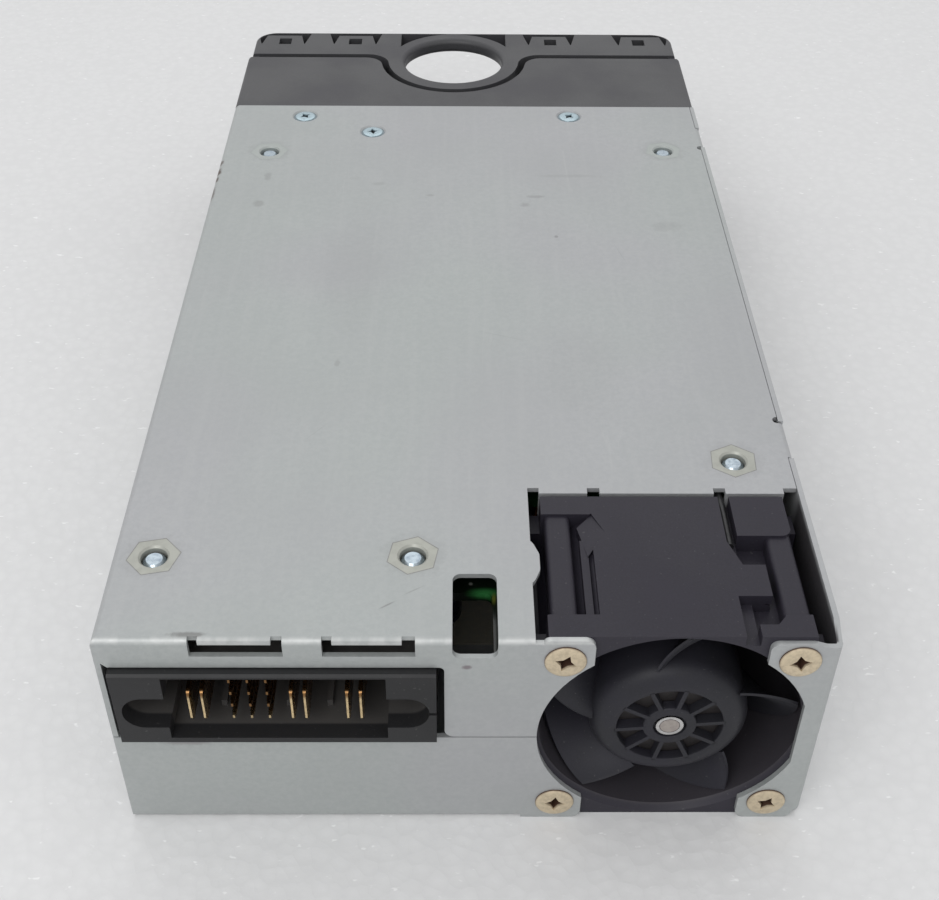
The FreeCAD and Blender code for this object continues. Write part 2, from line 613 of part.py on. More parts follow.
def fan_yoke():
    """Steel cup inside the hub."""
    outer, inner = YOKE
    cup = lying(outer, FAN_X, FAN_Z, HUB_REAR + 1.7, HUB_FRONT - 0.3)
    return cup.cut([lying(inner, FAN_X, FAN_Z, HUB_REAR + 2.4, HUB_FRONT),
                    lying(BUSH + 0.05, FAN_X, FAN_Z, 0, 6)])


def fan_magnet():
    outer, inner = MAGNET
    return tube_y(outer, inner, FAN_X, FAN_Z, 8.0, 21.0)


def fan_bearings():
    """Two ball bearings in the motor's tube, drawn as closed races."""
    return group([tube_y(BEARING - 0.01, SHAFT + 0.04, FAN_X, FAN_Z, y, y + 2.5) for y in (8.2, 21.8)])


def fan_stator_core():
    """Laminated core with four poles."""
    core = lying(BEARING_TUBE + 1.8, FAN_X, FAN_Z, 10.0, 19.0)
    poles = []
    for k in range(4):
        pole = box(2, STATOR, 10.0, 19.0, -1.2, 1.2)
        shoe = tube_y(STATOR, STATOR - 1.1, 0, 0, 10.0, 19.0)
        shoe = shoe.common(slab([(0, 0), (12, -7), (12, 7)], "y", 9, 20))
        piece = pole.fuse(shoe)
        piece.translate(V(FAN_X, 0, FAN_Z))
        piece.rotate(V(FAN_X, 0, FAN_Z), V(0, 1, 0), 45 + 90 * k)
        poles.append(piece)
    body = join([core] + poles)
    body = body.cut(lying(BEARING_TUBE + 0.02, FAN_X, FAN_Z, 0, 30))
    return body.common(lying(STATOR, FAN_X, FAN_Z, 0, 30))


def fan_coils():
    """Four windings on the stator's poles."""
    coils = []
    for k in range(4):
        coil = box(5.85, 6.85, 8.6, 20.4, -1.9, 1.9)
        coil = coil.cut(box(5, 8, 9.95, 19.05, -1.22, 1.22))
        coil.translate(V(FAN_X, 0, FAN_Z))
        coil.rotate(V(FAN_X, 0, FAN_Z), V(0, 1, 0), 45 + 90 * k)
        coils.append(coil)
    return group(coils)


def fan_circuit_board():
    return tube_y(HUB_RADIUS - 1.3, BEARING_TUBE + 0.1, FAN_X, FAN_Z, 24.6, 25.6)


def route(points, radius):
    """A round bar along straight runs joined by tangent arcs."""
    corners = [V(*p) for p in points]
    edges = []
    start = corners[0]
    for before, here, after in zip(corners, corners[1:], corners[2:]):
        shorter = min((before - here).Length, (after - here).Length)
        to_before = (before - here).normalize()
        to_after = (after - here).normalize()
        half = to_before.getAngle(to_after) / 2
        reach = 0.45 * shorter
        bend = reach * math.tan(half)
        centre = here + (to_before + to_after).normalize() * (bend / math.sin(half))
        middle = centre + (here - centre).normalize() * bend
        edges.append(Part.makeLine(start, here + to_before * reach))
        edges.append(Part.Arc(here + to_before * reach, middle, here + to_after * reach).toShape())
        start = here + to_after * reach
    edges.append(Part.makeLine(start, corners[-1]))
    path = Part.Wire(edges)
    section = Part.Wire([Part.makeCircle(radius, corners[0], corners[1] - corners[0])])
    return path.makePipeShell([section], True, True)


def fan_lead():
    """The fan's lead, from its channel over the board to the header."""
    return route([(89.0, 19.6, 38.5), (89.0, 28.5, 38.5), (88.8, 35.0, 37.9), (83.5, 39.5, 37.6),
                  (76.4, 41.0, 37.6)], 0.6)


# --- the output connector --------------------------------------------------------------------------------
def connector_housing():
    """Black moulding with a wide cavity and a rounded guide wing at each end."""
    ease = 0.35
    body = slab([(CONN_REAR, CONN_Z[0]), (CONN_FRONT, CONN_Z[0]), (CONN_FRONT, CONN_Z[1]),
                 (CONN_REAR + ease, CONN_Z[1]), (CONN_REAR, CONN_Z[1] - ease)], "x", *CONN_X)
    cavity = box(CAVITY_X[0], CAVITY_X[1], CONN_REAR - 1, CONN_FLOOR, CAVITY_Z[0], CAVITY_Z[1])
    wings = rounded(WING_X[0], WING_X[1], WING_Z[0], WING_Z[1], 3.05, "y", CONN_REAR - 1, CONN_FLOOR)
    slit = box(WING_X[1] - 1, CONN_X[1] + 1, CONN_REAR - 1, CONN_FLOOR, 26.0, 26.5)
    body = body.cut([cavity.fuse(wings), slit])
    ribs = [box(x - 0.4, x + 0.4, CONN_FLOOR - 5, CONN_FLOOR, CAVITY_Z[0], CAVITY_Z[0] + 1.2)
            for x in (15.6, 25.0, 30.9)]
    holes = [box(x - 0.32, x + 0.32, CONN_FLOOR - 1, CONN_FRONT + 1, POWER_Z[0] - 0.3, POWER_Z[1] + 0.3)
             for x in POWER_X]
    holes += [box(x - 0.32, x + 0.32, CONN_FLOOR - 1, CONN_FRONT + 1, z - 0.32, z + 0.32)
              for x in SIGNAL_X for z in SIGNAL_Z]
    return join([body] + ribs).cut(holes)


def tapered(x, tip, half, end, low, high):
    """A bar along Y that narrows towards its tip, seen from above."""
    return slab([(x - half / 2, tip), (x + half / 2, tip), (x + half, tip + 0.8), (x + half, end),
                 (x - half, end), (x - half, tip + 0.8)], "z", low, high)


def connector_power_blades():
    """Six gold-plated contact blades, turned up into the board behind the housing."""
    blades = []
    low, high = POWER_Z
    profile = [(0, low, 0.6), (18.0, low), (18.0, BOARD_TOP + 0.5), (16.0, BOARD_TOP + 0.5),
               (16.0, high), (0, high, 0.9)]
    for x in POWER_X:
        blades.append(slab(profile, "x", x - 0.3, x + 0.3).common(tapered(x, 0, 0.3, 19.0, 20.0, 40.0)))
    return group(blades)


def connector_signal_pins():
    """Twelve square pins in three columns, each row bent up into the board further back."""
    pins = []
    for row, z in enumerate(SIGNAL_Z):
        back = SIGNAL_BACK - ROW_STEP * row
        for x in SIGNAL_X:
            run = tapered(x, 0.5, 0.3, back + 0.3, z - 0.3, z + 0.3)
            tail = box(x - 0.3, x + 0.3, back - 0.3, back + 0.3, z - 0.3, BOARD_TOP + 0.5)
            pins.append(run.fuse(tail).removeSplitter())
    return group(pins)


# --- the board and its parts --------------------------------------------------------------------------------
def main_board():
    """L-shaped board under the tray, cut back round the connector, the fan and a screw."""
    corners = [(2.2, 13.1), (54.3, 13.1, 1.2), (54.3, 1.6), (57.5, 1.6), (57.5, 33.0, 1.0), (98.5, 33.0),
               (98.5, 146.0), (38.0, 146.0), (38.0, 140.0, 1.0), (24.0, 140.0, 1.0), (24.0, 146.0),
               (2.2, 146.0)]
    body = slab(corners, "z", BOARD_LOW, BOARD_TOP)
    holes = [upright(BOARD_SCREW + 0.1, x, y, 30, 40) for x, y in STANDOFFS]
    holes += [box(x - 0.32, x + 0.32, 15.98, 18.02, 30, 40) for x in POWER_X]
    for row in range(len(SIGNAL_Z)):
        back = SIGNAL_BACK - ROW_STEP * row
        holes += [box(x - 0.32, x + 0.32, back - 0.32, back + 0.32, 30, 40) for x in SIGNAL_X]
    return body.cut(holes)


def insulator_sheet():
    """Thin film between the cover and the board's components."""
    return box(5.0, 98.0, 34.0, 145.0, SHEET + 0.02, SHEET + 0.4)


def hanging(radius, x, y, length):
    """A round can hanging from the board, with a rolled end."""
    can = upright(radius, x, y, BOARD_LOW - length, BOARD_LOW)
    groove = upright(radius + 1, x, y, BOARD_LOW - 3.0, BOARD_LOW - 2.2).cut(
        upright(radius - 0.5, x, y, BOARD_LOW - 4, BOARD_LOW))
    return can.cut(groove)


def bulk_capacitors():
    return group([hanging(11.0, 18.5, y, 30.0) for y in (66.0, 90.0)])


def output_capacitors():
    return group([hanging(4.0, x, y, 20.0) for x in (8.0, 17.5, 27.0, 36.5, 46.0) for y in (30.0, 40.0)])


def film_capacitors():
    """Three moulded box capacitors of the mains filter."""
    sizes = ((5.0, 118.0, 13.0, 6.5), (46.0, 128.0, 18.0, 8.5), (70.0, 134.0, 13.0, 6.0))
    return group([rounded(x, x + w, y, y + d, 0.6, "z", BOARD_LOW - 14, BOARD_LOW) for x, y, w, d in sizes])


def transformer_core():
    """Ferrite core with a round middle limb."""
    block = box(38.0, 66.0, 58.0, 88.0, 6.0, 32.5)
    block = block.cut(box(30.0, 70.0, 64.0, 82.0, 10.5, 28.0))
    return block.fuse(upright(5.5, 52.0, 73.0, 10.5, 28.0)).removeSplitter()


def transformer_winding():
    bobbin = upright(13.2, 52.0, 73.0, 11.0, 27.5).common(box(30, 70, 64.3, 81.7, 0, 40))
    return bobbin.cut(upright(5.7, 52.0, 73.0, 0, 40))


def toroid(outer, inner, x, y, z0, z1):
    return upright(outer, x, y, z0, z1).cut(upright(inner, x, y, z0 - 1, z1 + 1))


def choke_core():
    return toroid(11.5, 6.0, 75.0, 46.0, 14.0, 26.0)


def choke_winding():
    """Copper turns round the power choke."""
    turns = []
    for k in range(16):
        outer = box(4.6, 13.0, -1.0, 1.0, 12.6, 27.4).cut(box(5.85, 11.55, -2, 2, 13.95, 26.05))
        outer.rotate(V(0, 0, 0), V(0, 0, 1), 360 / 16 * k)
        outer.translate(V(75.0, 46.0, 0))
        turns.append(outer)
    return join(turns)


def emi_choke_core():
    return toroid(9.5, 5.0, 30.0, 122.0, 17.0, 27.0)


def emi_choke_winding():
    """Two separate windings on the mains filter choke."""
    turns = []
    for side in (0, 180):
        for k in range(6):
            turn = box(3.8, 10.8, -0.9, 0.9, 15.8, 28.2).cut(box(4.85, 9.55, -2, 2, 16.95, 27.05))
            turn.rotate(V(0, 0, 0), V(0, 0, 1), side - 50 + 20 * k)
            turn.translate(V(30.0, 122.0, 0))
            turns.append(turn)
    return group([join(turns[:6]), join(turns[6:])])


def finned(x0, y0, y1, side):
    """Aluminium extrusion: a web hanging from the board with fins on one side."""
    web = box(x0, x0 + 2.5, y0, y1, 3.0, BOARD_LOW)
    fins = []
    for k in range(6):
        z = 5.0 + 4.4 * k
        a, b = (x0 + 2.5, x0 + 8.0) if side > 0 else (x0 - 5.5, x0)
        fins.append(box(a, b, y0, y1, z, z + 1.2))
    return join([web] + fins)


def primary_heatsink():
    return finned(91.0 - 2.5, 46.0, 128.0, 1)


def secondary_heatsink():
    """Folded plate beside the rectifiers, cut with slots for air."""
    plate = box(5.0, 58.0, 47.0, 49.0, 4.0, BOARD_LOW)
    foot = box(5.0, 58.0, 49.0, 53.0, 4.0, 6.0)
    slots = [box(x, x + 2.0, 46.0, 50.0, 8.0, 14.0) for x in range(9, 55, 6)]
    return plate.fuse(foot).cut(slots)


def power_transistors():
    """Flat packages clamped to the heatsinks."""
    parts = [box(83.6, 88.5, y, y + 10.2, 12.0, 30.0) for y in (88.0, 101.0, 114.0)]
    synchronous = box(50.5, 60.7, 42.6, 47.0, 16.0, 30.0).cut(upright(4.3, 55.5, 40.0, 0, 40))
    return group(parts + [synchronous])


def bridge_rectifier():
    """Four-legged bridge in its own moulding with a fixing hole."""
    body = rounded(62.0, 80.0, 118.0, 122.0, 0.6, "z", 16.0, 31.0)
    body = body.cut(lying(1.6, 71.0, 23.0, 110, 130))
    legs = [box(x, x + 1.0, 119.5, 120.3, 31.0, BOARD_LOW) for x in (64.0, 68.6, 72.6, 77.2)]
    return join([body] + legs)


def fuse():
    """Ceramic fuse in two clips."""
    body = lying(2.6, 17.5, 29.0, 130.0, 137.0)
    caps = [lying(3.0, 17.5, 29.0, a, a + 3.0) for a in (129.0, 135.2)]
    clips = [box(14.9, 20.1, a, a + 2.0, 30.5, BOARD_LOW) for a in (129.5, 135.7)]
    return join([body] + caps + clips)


def relay():
    return rounded(42.0, 52.0, 104.0, 122.0, 0.6, "z", BOARD_LOW - 15.0, BOARD_LOW)


def control_card():
    """Daughter board standing along the left wall."""
    card = box(3.2, 4.8, 46.0, 112.0, 8.0, BOARD_LOW)
    chip = box(4.8, 6.2, 98.0, 107.0, 14.0, 23.0)
    return join([card, chip])


def fan_header():
    """Socket on the board's upper face that takes the fan's lead."""
    body = box(70.0, 76.2, 37.5, 44.5, BOARD_TOP, 39.0)
    return body.cut(box(71.0, 75.2, 38.5, 43.5, 38.0, 40.0))


# --- the bezel --------------------------------------------------------------------------------------------
def lobe(radius, fillet, edge, z0, z1):
    """The round lobe for the finger ring, blended into a straight edge, as a solid up to the front."""
    x, y = RING
    rise = edge - y
    reach = math.sqrt((radius + fillet) ** 2 - (rise - fillet) ** 2)
    middle = V(x, y, z0)
    left = V(x - reach, edge - fillet, z0)
    right = V(x + reach, edge - fillet, z0)
    start, end = V(left.x, edge, z0), V(right.x, edge, z0)
    touches = [c + (middle - c).normalize() * fillet for c in (left, right)]

    def blend(centre, first, last):
        bow = ((first - centre).normalize() + (last - centre).normalize()).normalize() * fillet
        return Part.Arc(first, centre + bow, last).toShape()

    edges = [blend(left, start, touches[0]),
             Part.Arc(touches[0], V(x, y - radius, z0), touches[1]).toShape(),
             blend(right, touches[1], end)]
    far = LENGTH + 5
    corners = [end, V(end.x, far, z0), V(start.x, far, z0), start]
    edges += [Part.makeLine(p, q) for p, q in zip(corners, corners[1:])]
    return Part.Face(Part.Wire(edges)).extrude(V(0, 0, z1 - z0))


def alcove_room(margin):
    """The space a finger reaches into, grown by a margin."""
    return rounded(ALCOVE[0] - margin, ALCOVE[1] + margin, ALCOVE_BACK - margin, LENGTH + 20, 8.0, "z",
                   WALL, RING_UNDER if margin == 0 else HEIGHT - 1)


def bezel_housing():
    """Black moulded body behind the front frame: deck, floor, sides, alcove wall and fixing lugs."""
    outer = rounded(0, WIDTH, 0, HEIGHT, 0.8, "y", METAL_LENGTH, DECK_FRONT)
    outer = outer.common(rounded(0, WIDTH, METAL_LENGTH - 5, DECK_FRONT, 1.0, "z", 0, HEIGHT))
    inner = box(WALL, WIDTH - WALL, METAL_LENGTH - 1, DECK_FRONT + 1, WALL, HEIGHT - WALL)
    shell = outer.cut(inner)
    wall = alcove_room(ALCOVE_WALL).cut(alcove_room(0))
    wall = wall.common(box(0, WIDTH, METAL_LENGTH, DECK_FRONT, WALL - 0.5, HEIGHT - 0.5))
    low = HEIGHT - WALL - 1.4
    lugs = [box(a, b, 147.0, 160.0, low, DIMPLE_LOW - 0.1) for a, b in ((8.0, 24.0), (66.0, 81.0))]
    lugs.append(box(27.0, 35.0, 140.8, 160.0, low, DIMPLE_LOW - 0.1))
    rims = [box(10.0, 92.0, 151.0, METAL_LENGTH + 1, SHEET + 0.5, SHEET + 2.0),
            box(SHEET + 1.0, SHEET + 2.3, 151.0, METAL_LENGTH + 1, 14.0, 34.0),
            box(WIDTH - SHEET - 1.5, WIDTH - SHEET - 0.2, 151.0, METAL_LENGTH + 1, 3.0, 34.0)]
    x, y = LATCH_PIN
    seats = [box(x - 3.0, WIDTH - 1, y - 3, y + 3, a, b)
             for a, b in ((LATCH_Z[0] - 3.0, LATCH_Z[0] - 0.4), (LATCH_Z[1] + 0.4, LATCH_Z[1] + 3.0))]
    body = join([shell, wall, spring_post()] + lugs + rims + seats)
    cuts = [lobe(RING_GROOVE, 4.0, DECK_FRONT, RING_UNDER - 1.0, HEIGHT + 1),
            box(WIDTH - WALL - 1, WIDTH + 1, *LATCH_SLOT, LATCH_Z[0] - 0.5, LATCH_Z[1] + 0.5),
            upright(LATCH_PIN_RADIUS + 0.02, x, y, LATCH_Z[0] - 4, LATCH_Z[1] + 4)]
    cuts += [upright(SCREW_SHANK + 0.02, sx, sy, low - 1, HEIGHT) for sx, sy in TRAY_SCREWS]
    return body.cut(cuts)


def frame_outline(inset, z0, z1):
    """The front frame's outline from above, drawn in from its outer face."""
    x0, x1 = FRAME_IN + inset, WIDTH - FRAME_IN - inset
    y1 = LENGTH - inset
    radius = FRAME_CORNER - inset
    return slab([(x0, FRAME_REAR), (x1, FRAME_REAR), (x1, y1, radius), (x0, y1, radius)], "z", z0, z1)


def frame_form():
    """The front frame's outer form, with its upper and lower edges eased."""
    block = frame_outline(0, 0, HEIGHT)
    eased = [e for e in block.Edges if e.BoundBox.ZLength < 0.01 and e.BoundBox.YMax > FRAME_REAR + 0.01]
    return block.makeFillet(FRAME_EASE, eased)


def finger_ring():
    """The loop a finger pulls, with rounded edges."""
    x, y = RING
    ring = upright(RING_OUTER, x, y, RING_UNDER, HEIGHT).cut(upright(RING_HOLE, x, y, 0, HEIGHT + 1))
    edges = [e for e in ring.Edges if hasattr(e.Curve, "Radius") and abs(e.Curve.Radius - RING_HOLE) < 0.01
             and e.BoundBox.ZLength < 0.01]
    return ring.makeFillet(1.1, edges)


def lip_pocket(span, hole):
    """What one pocket takes out of the lip behind its rim, round a tongue and through the tongue's root."""
    left, right = span
    front = LENGTH - RIM
    low, over = HEIGHT - 3.2, HEIGHT + 1
    pocket = slab([(left + 1.2, POCKET_REAR), (right - 1.2, POCKET_REAR), (right, front), (left, front)],
                  "z", low, over)
    tongue = slab([(left + 1.2, POCKET_REAR - 1), (right - 1.2, POCKET_REAR - 1),
                   (right - 2.3, front - 1.2), (left + 2.3, front - 1.2)], "z", low - 1, HEIGHT)
    through = box(hole[0], hole[1], POCKET_REAR - 0.2, 192.5, low, over)
    return pocket.cut(tongue).fuse(through).common(frame_outline(RIM, low - 1, over))


def front_frame():
    """Lip, face plate and finger ring in one moulding."""
    form = frame_form()
    hood = form.cut(box(WALL + FRAME_IN, WIDTH - WALL - FRAME_IN, FRAME_REAR - 1, LENGTH + 1, WALL,
                        HEIGHT - WALL))
    plate = box(FRAME_IN + 1, WIDTH - FRAME_IN - 1, FACE[0], FACE[1], 1, HEIGHT - 1)
    inner, outer = ALCOVE
    cheeks = [box(a, a + ALCOVE_WALL, FRAME_REAR, FACE[1] + 3.5, 1, HEIGHT - 1)
              for a in (inner - ALCOVE_WALL, outer)]
    collar = box(WALL, WIDTH - WALL, DECK_FRONT - 1.5, FRAME_REAR + 1, WALL, HEIGHT - WALL)
    collar = collar.cut([box(WALL + 1.6, WIDTH - WALL - 1.6, 180, 190, WALL + 1.6, HEIGHT - WALL - 1.6),
                         box(27.0, 70.0, 180, 190, WALL + 5, HEIGHT),
                         box(inner - ALCOVE_WALL - 0.1, outer + ALCOVE_WALL + 0.1, 180, DECK_FRONT + 0.1,
                             WALL - 1, HEIGHT)])
    ends = [box(a, b, DECK_FRONT + 0.05, FRAME_REAR + 1, FRAME_EASE, HEIGHT - FRAME_EASE)
            for a, b in ((FRAME_IN, WALL + 0.1), (WIDTH - WALL - 0.1, WIDTH - FRAME_IN))]
    lip_lobe = lobe(RING_LOBE, 5.1, FRAME_REAR, RING_UNDER, HEIGHT).common(
        box(0, WIDTH, 160.0, FRAME_REAR + 1, 0, HEIGHT))
    body = join([hood, plate, collar] + cheeks + ends)
    body = body.cut(box(inner, outer, FACE[0] - 20, LENGTH + 1, WALL, HEIGHT + 1))
    x, y = RING
    bridge = box(inner - 1, outer + 1, FRAME_REAR, RING_BRIDGE, RING_UNDER, HEIGHT)
    rim = form.common(box(0, WIDTH, FRAME_REAR, LENGTH, RIM_LOW, HEIGHT)).cut(
        frame_outline(RIM, RIM_LOW - 1, HEIGHT + 1))
    ring_room = upright(RING_OUTER - 0.5, x, y, RING_UNDER - 1, HEIGHT + 1)
    body = join([body, lip_lobe, bridge, rim]).cut(ring_room)
    body = join([body, finger_ring()])
    cuts = [lip_pocket(span, hole) for span, hole in zip(POCKETS, POCKET_HOLES)]
    cuts.append(box(GRILLE_X[0], GRILLE_X[1], FACE[0] - 1, FACE[1] + 1, GRILLE_Z[0], GRILLE_Z[1]))
    cuts.append(rounded(INLET[0] - 13.8, INLET[0] + 13.8, INLET[1] - 10.1, INLET[1] + 10.1, 2.0, "y",
                        FACE[0] - 1, FACE[1] + 1))
    cuts.append(box(GRILLE_X[1] + 1.3, WIDTH - FRAME_IN - WALL + 0.5, FRAME_REAR - 3, LENGTH + 1,
                    LATCH_Z[0] - 1, LATCH_Z[1] + 1))
    rear, low, high = THUMB_GAP
    cuts.append(rounded(rear, LENGTH + 9, low, high, 3.0, "x", WIDTH - FRAME_IN - WALL - 1, WIDTH))
    cuts += [lying(1.55, lx, lz, FACE[0] - 1, FACE[1] + 1) for lx, lz in LIGHTS]
    return body.cut(cuts)


def status_light_pipes():
    """Two clear rods that carry the status lights through the face plate."""
    pipes = []
    for x, z in LIGHTS:
        pipe = lying(1.5, x, z, FACE[0] - 8, FACE[1] + 0.4)
        pipes.append(pipe.fuse(lying(2.1, x, z, FACE[0] - 2, FACE[0])).removeSplitter())
    return group(pipes)


def exhaust_grille():
    """Steel plate behind the face, pierced with staggered hexagonal holes."""
    across_hole, web, rim = 5.2, 1.0, 1.0
    step = across_hole + web
    row_step = step * math.cos(math.radians(30))
    plate = box(GRILLE_X[0] - rim, GRILLE_X[1] + rim, FACE[0] - 0.9, FACE[0] - 0.1, GRILLE_Z[0] - rim,
                GRILLE_Z[1] + rim)
    radius = across_hole / 2 / math.cos(math.radians(30))
    holes = []
    for row in range(int((GRILLE_Z[1] - GRILLE_Z[0]) / row_step)):
        z = GRILLE_Z[0] + step / 2 + row * row_step
        x = GRILLE_X[0] + step / 2 + 0.1 + (row % 2) * (step / 2 - 0.4)
        while x + across_hole / 2 <= GRILLE_X[1]:
            turns = [math.radians(60 * n) for n in range(6)]
            corners = [(x + radius * math.sin(turn), z + radius * math.cos(turn)) for turn in turns]
            holes.append(slab(corners, "y", FACE[0] - 3, FACE[0] + 2))
            x += step
    return plate.cut(holes)


def ac_inlet_body():
    """Appliance inlet: flange on the face plate, deep cavity with two cut corners."""
    x, z = INLET
    flange = rounded(x - 14.6, x + 14.6, z - 11.0, z + 11.0, 2.0, "y", FACE[1], FACE[1] + 1.6)
    block = rounded(x - 13.5, x + 13.5, z - 9.8, z + 9.8, 1.5, "y", 168.0, FACE[1] + 0.5)
    cavity = slab([(x - 12.2, z + 8.3, 1.0), (x - 12.2, z - 3.6, 1.0), (x - 7.6, z - 8.3, 1.0),
                   (x + 7.6, z - 8.3, 1.0), (x + 12.2, z - 3.6, 1.0), (x + 12.2, z + 8.3, 1.0)],
                  "y", 174.6, FACE[1] + 3)
    return flange.fuse(block).removeSplitter().cut([cavity] + [inlet_slot(px, pz) for px, pz in inlet_pins()])


def inlet_pins():
    x, z = INLET
    return [(x - 7.0, z + 2.0), (x + 7.0, z + 2.0), (x, z - 2.0)]


def inlet_slot(x, z):
    return box(x - 1.0, x + 1.0, 167.0, 176.0, z - 2.0, z + 2.0)


def ac_inlet_pins():
    """Three flat pins with solder tags behind the inlet."""
    pins = []
    for x, z in inlet_pins():
        low, high = z - 2.0, z + 2.0
        profile = [(164.0, low, 0.5), (188.0, low, 0.9), (188.0, high, 0.9), (164.0, high, 0.5)]
        pin = slab(profile, "x", x - 1.0, x + 1.0)
        pins.append(pin)
    return group(pins)


def inlet_wires():
    """Three insulated wires from the inlet's tags to the board."""
    wires = []
    for (x, z), landing in zip(inlet_pins(), (4.8, 40.0, 24.0)):
        along = [(x, 163.9, z), (x, 156.0, z), ((x + landing) / 2, 149.0, z + 1.0)]
        up = [(landing, 142.5, 23.0), (landing, 139.0, 27.0), (landing, 139.0, BOARD_LOW)]
        wires.append(route(along + up, 1.1))
    return group(wires)


# --- the release latch ------------------------------------------------------------------------------------
def release_latch():
    """Lever on an upright pin: an eye, an arm, a hook through the side and a thumb tab."""
    x, y = LATCH_PIN
    low, high = LATCH_Z
    outer = WIDTH - FRAME_IN - 0.3
    inner = outer - LATCH_THICK
    outward = [(x - 0.9, y), (x + 0.9, y), (x + 0.9, 184.2, 4.0), (outer, 188.2, 3.0)]
    inward = [(inner, 188.9, 3.0), (x - 0.9, 184.9, 4.0)]
    arm = slab(outward + [(outer, LATCH_TAB, 0.8), (inner, LATCH_TAB, 0.8)] + inward, "z", low, high)
    eye = upright(2.4, x, y, low, high)
    near, far = LATCH_SLOT[0] + 0.9, LATCH_SLOT[1] - 1.6
    hook = slab([(x, near), (WIDTH - 0.6, near), (WIDTH + LATCH_HOOK, near + 2.8, 0.5),
                 (WIDTH + LATCH_HOOK, far, 0.3), (x, far)], "z", low, high)
    ridges = [upright(0.5, outer, LATCH_TAB - 1.3 - 1.5 * k, low, high) for k in range(3)]
    body = join([arm, eye, hook] + ridges)
    middle = (low + high) / 2
    window = box(x - 4, x + 4, y + 3.2, y + 8.6, middle - 4.0, middle + 4.0)
    return body.cut([upright(LATCH_PIN_RADIUS + 0.06, x, y, low - 1, high + 1), window])


def latch_pivot_pin():
    x, y = LATCH_PIN
    return upright(LATCH_PIN_RADIUS, x, y, LATCH_Z[0] - 3.0, LATCH_Z[1] + 3.0)


def spring_post():
    """The slotted post on the bezel's floor that holds the spring's rear end."""
    x, y = LATCH_PIN
    post = box(x - 6.5, x - 3.2, METAL_LENGTH, y + 1.0, WALL - 0.5, LATCH_Z[1] - 4)
    return post.cut(box(x - 5.0, x - 4.5, METAL_LENGTH - 1, y + 2, LATCH_Z[0] + 3, LATCH_Z[1]))


def latch_spring():
    """Leaf spring from the slotted post to the inner face of the latch's arm."""
    x, y = LATCH_PIN
    touch = x - 1.0
    path = [(x - 4.5, y - 2.5), (x - 4.5, y + 4.0), (touch, y + 17.0), (touch - 1.6, y + 20.0)]
    return folded(path, "z", LATCH_Z[0] + 4, LATCH_Z[1] - 5, 1, 0.4, 1.0)


# --- saving -----------------------------------------------------------------------------------------------
NODES = (chassis_tray, chassis_cover, bezel_housing, front_frame, exhaust_grille, ac_inlet_body,
         ac_inlet_pins, inlet_wires, status_light_pipes, release_latch, latch_pivot_pin, latch_spring,
         fan_frame, fan_impeller, fan_hub_bush, fan_shaft, fan_yoke, fan_magnet, fan_bearings,
         fan_stator_core, fan_coils, fan_circuit_board, fan_lead, fan_header, fan_screws,
         connector_housing, connector_power_blades, connector_signal_pins, main_board, insulator_sheet,
         board_standoffs, board_screws, chassis_screws, bulk_capacitors, output_capacitors,
         film_capacitors, transformer_core, transformer_winding, choke_core, choke_winding,
         emi_choke_core, emi_choke_winding, primary_heatsink, secondary_heatsink, power_transistors,
         bridge_rectifier, fuse, relay, control_card)


def save():
    os.makedirs("parts", exist_ok=True)
    for make in NODES:
        shape = make()
        shape.translate(V(-WIDTH / 2, -LENGTH / 2, 0))
        shape.exportStep("parts/" + make.__name__ + ".step")


save()
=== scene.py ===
"""Hot swap server power supply: folded steel case, fan, output connector and moulded bezel.

Metres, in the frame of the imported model. Places are written in millimetres from the case's rear
left bottom corner: X to the right, Y from the rear face to the bezel, Z up.
"""
import math

import bpy
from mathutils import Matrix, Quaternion, Vector


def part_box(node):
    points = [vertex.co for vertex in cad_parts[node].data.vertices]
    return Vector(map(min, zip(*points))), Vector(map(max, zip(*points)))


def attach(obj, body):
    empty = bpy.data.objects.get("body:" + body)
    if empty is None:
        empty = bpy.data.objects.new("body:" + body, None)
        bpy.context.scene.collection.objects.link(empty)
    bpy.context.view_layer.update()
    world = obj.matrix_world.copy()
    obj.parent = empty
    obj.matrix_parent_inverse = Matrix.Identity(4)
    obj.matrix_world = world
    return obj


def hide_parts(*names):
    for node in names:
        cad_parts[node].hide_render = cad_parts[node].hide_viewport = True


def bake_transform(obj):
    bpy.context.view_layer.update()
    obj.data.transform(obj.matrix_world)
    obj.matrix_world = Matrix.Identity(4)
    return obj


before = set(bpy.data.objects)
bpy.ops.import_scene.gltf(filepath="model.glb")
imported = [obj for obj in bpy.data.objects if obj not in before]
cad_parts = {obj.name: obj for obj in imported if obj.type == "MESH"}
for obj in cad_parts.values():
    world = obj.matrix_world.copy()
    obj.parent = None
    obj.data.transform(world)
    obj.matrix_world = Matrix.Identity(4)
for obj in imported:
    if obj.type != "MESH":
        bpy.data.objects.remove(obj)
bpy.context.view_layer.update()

MM = 0.001
SUPPLY = "power_supply"
ROTOR = "fan_rotor"
LATCH = "latch"
CORNER = Vector((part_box("bezel_housing")[0][0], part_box("chassis_tray")[0][1],
                 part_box("chassis_cover")[0][2]))
WIDTH = (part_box("bezel_housing")[1][0] - CORNER.x) / MM
HEIGHT = (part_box("chassis_tray")[1][2] - CORNER.z) / MM
FAN_HOLE_PITCH = 32.0
FULL_TURN = 2 * math.pi
FAR = 900.0                            # a reach past the whole case: the spot is a tube or a slab

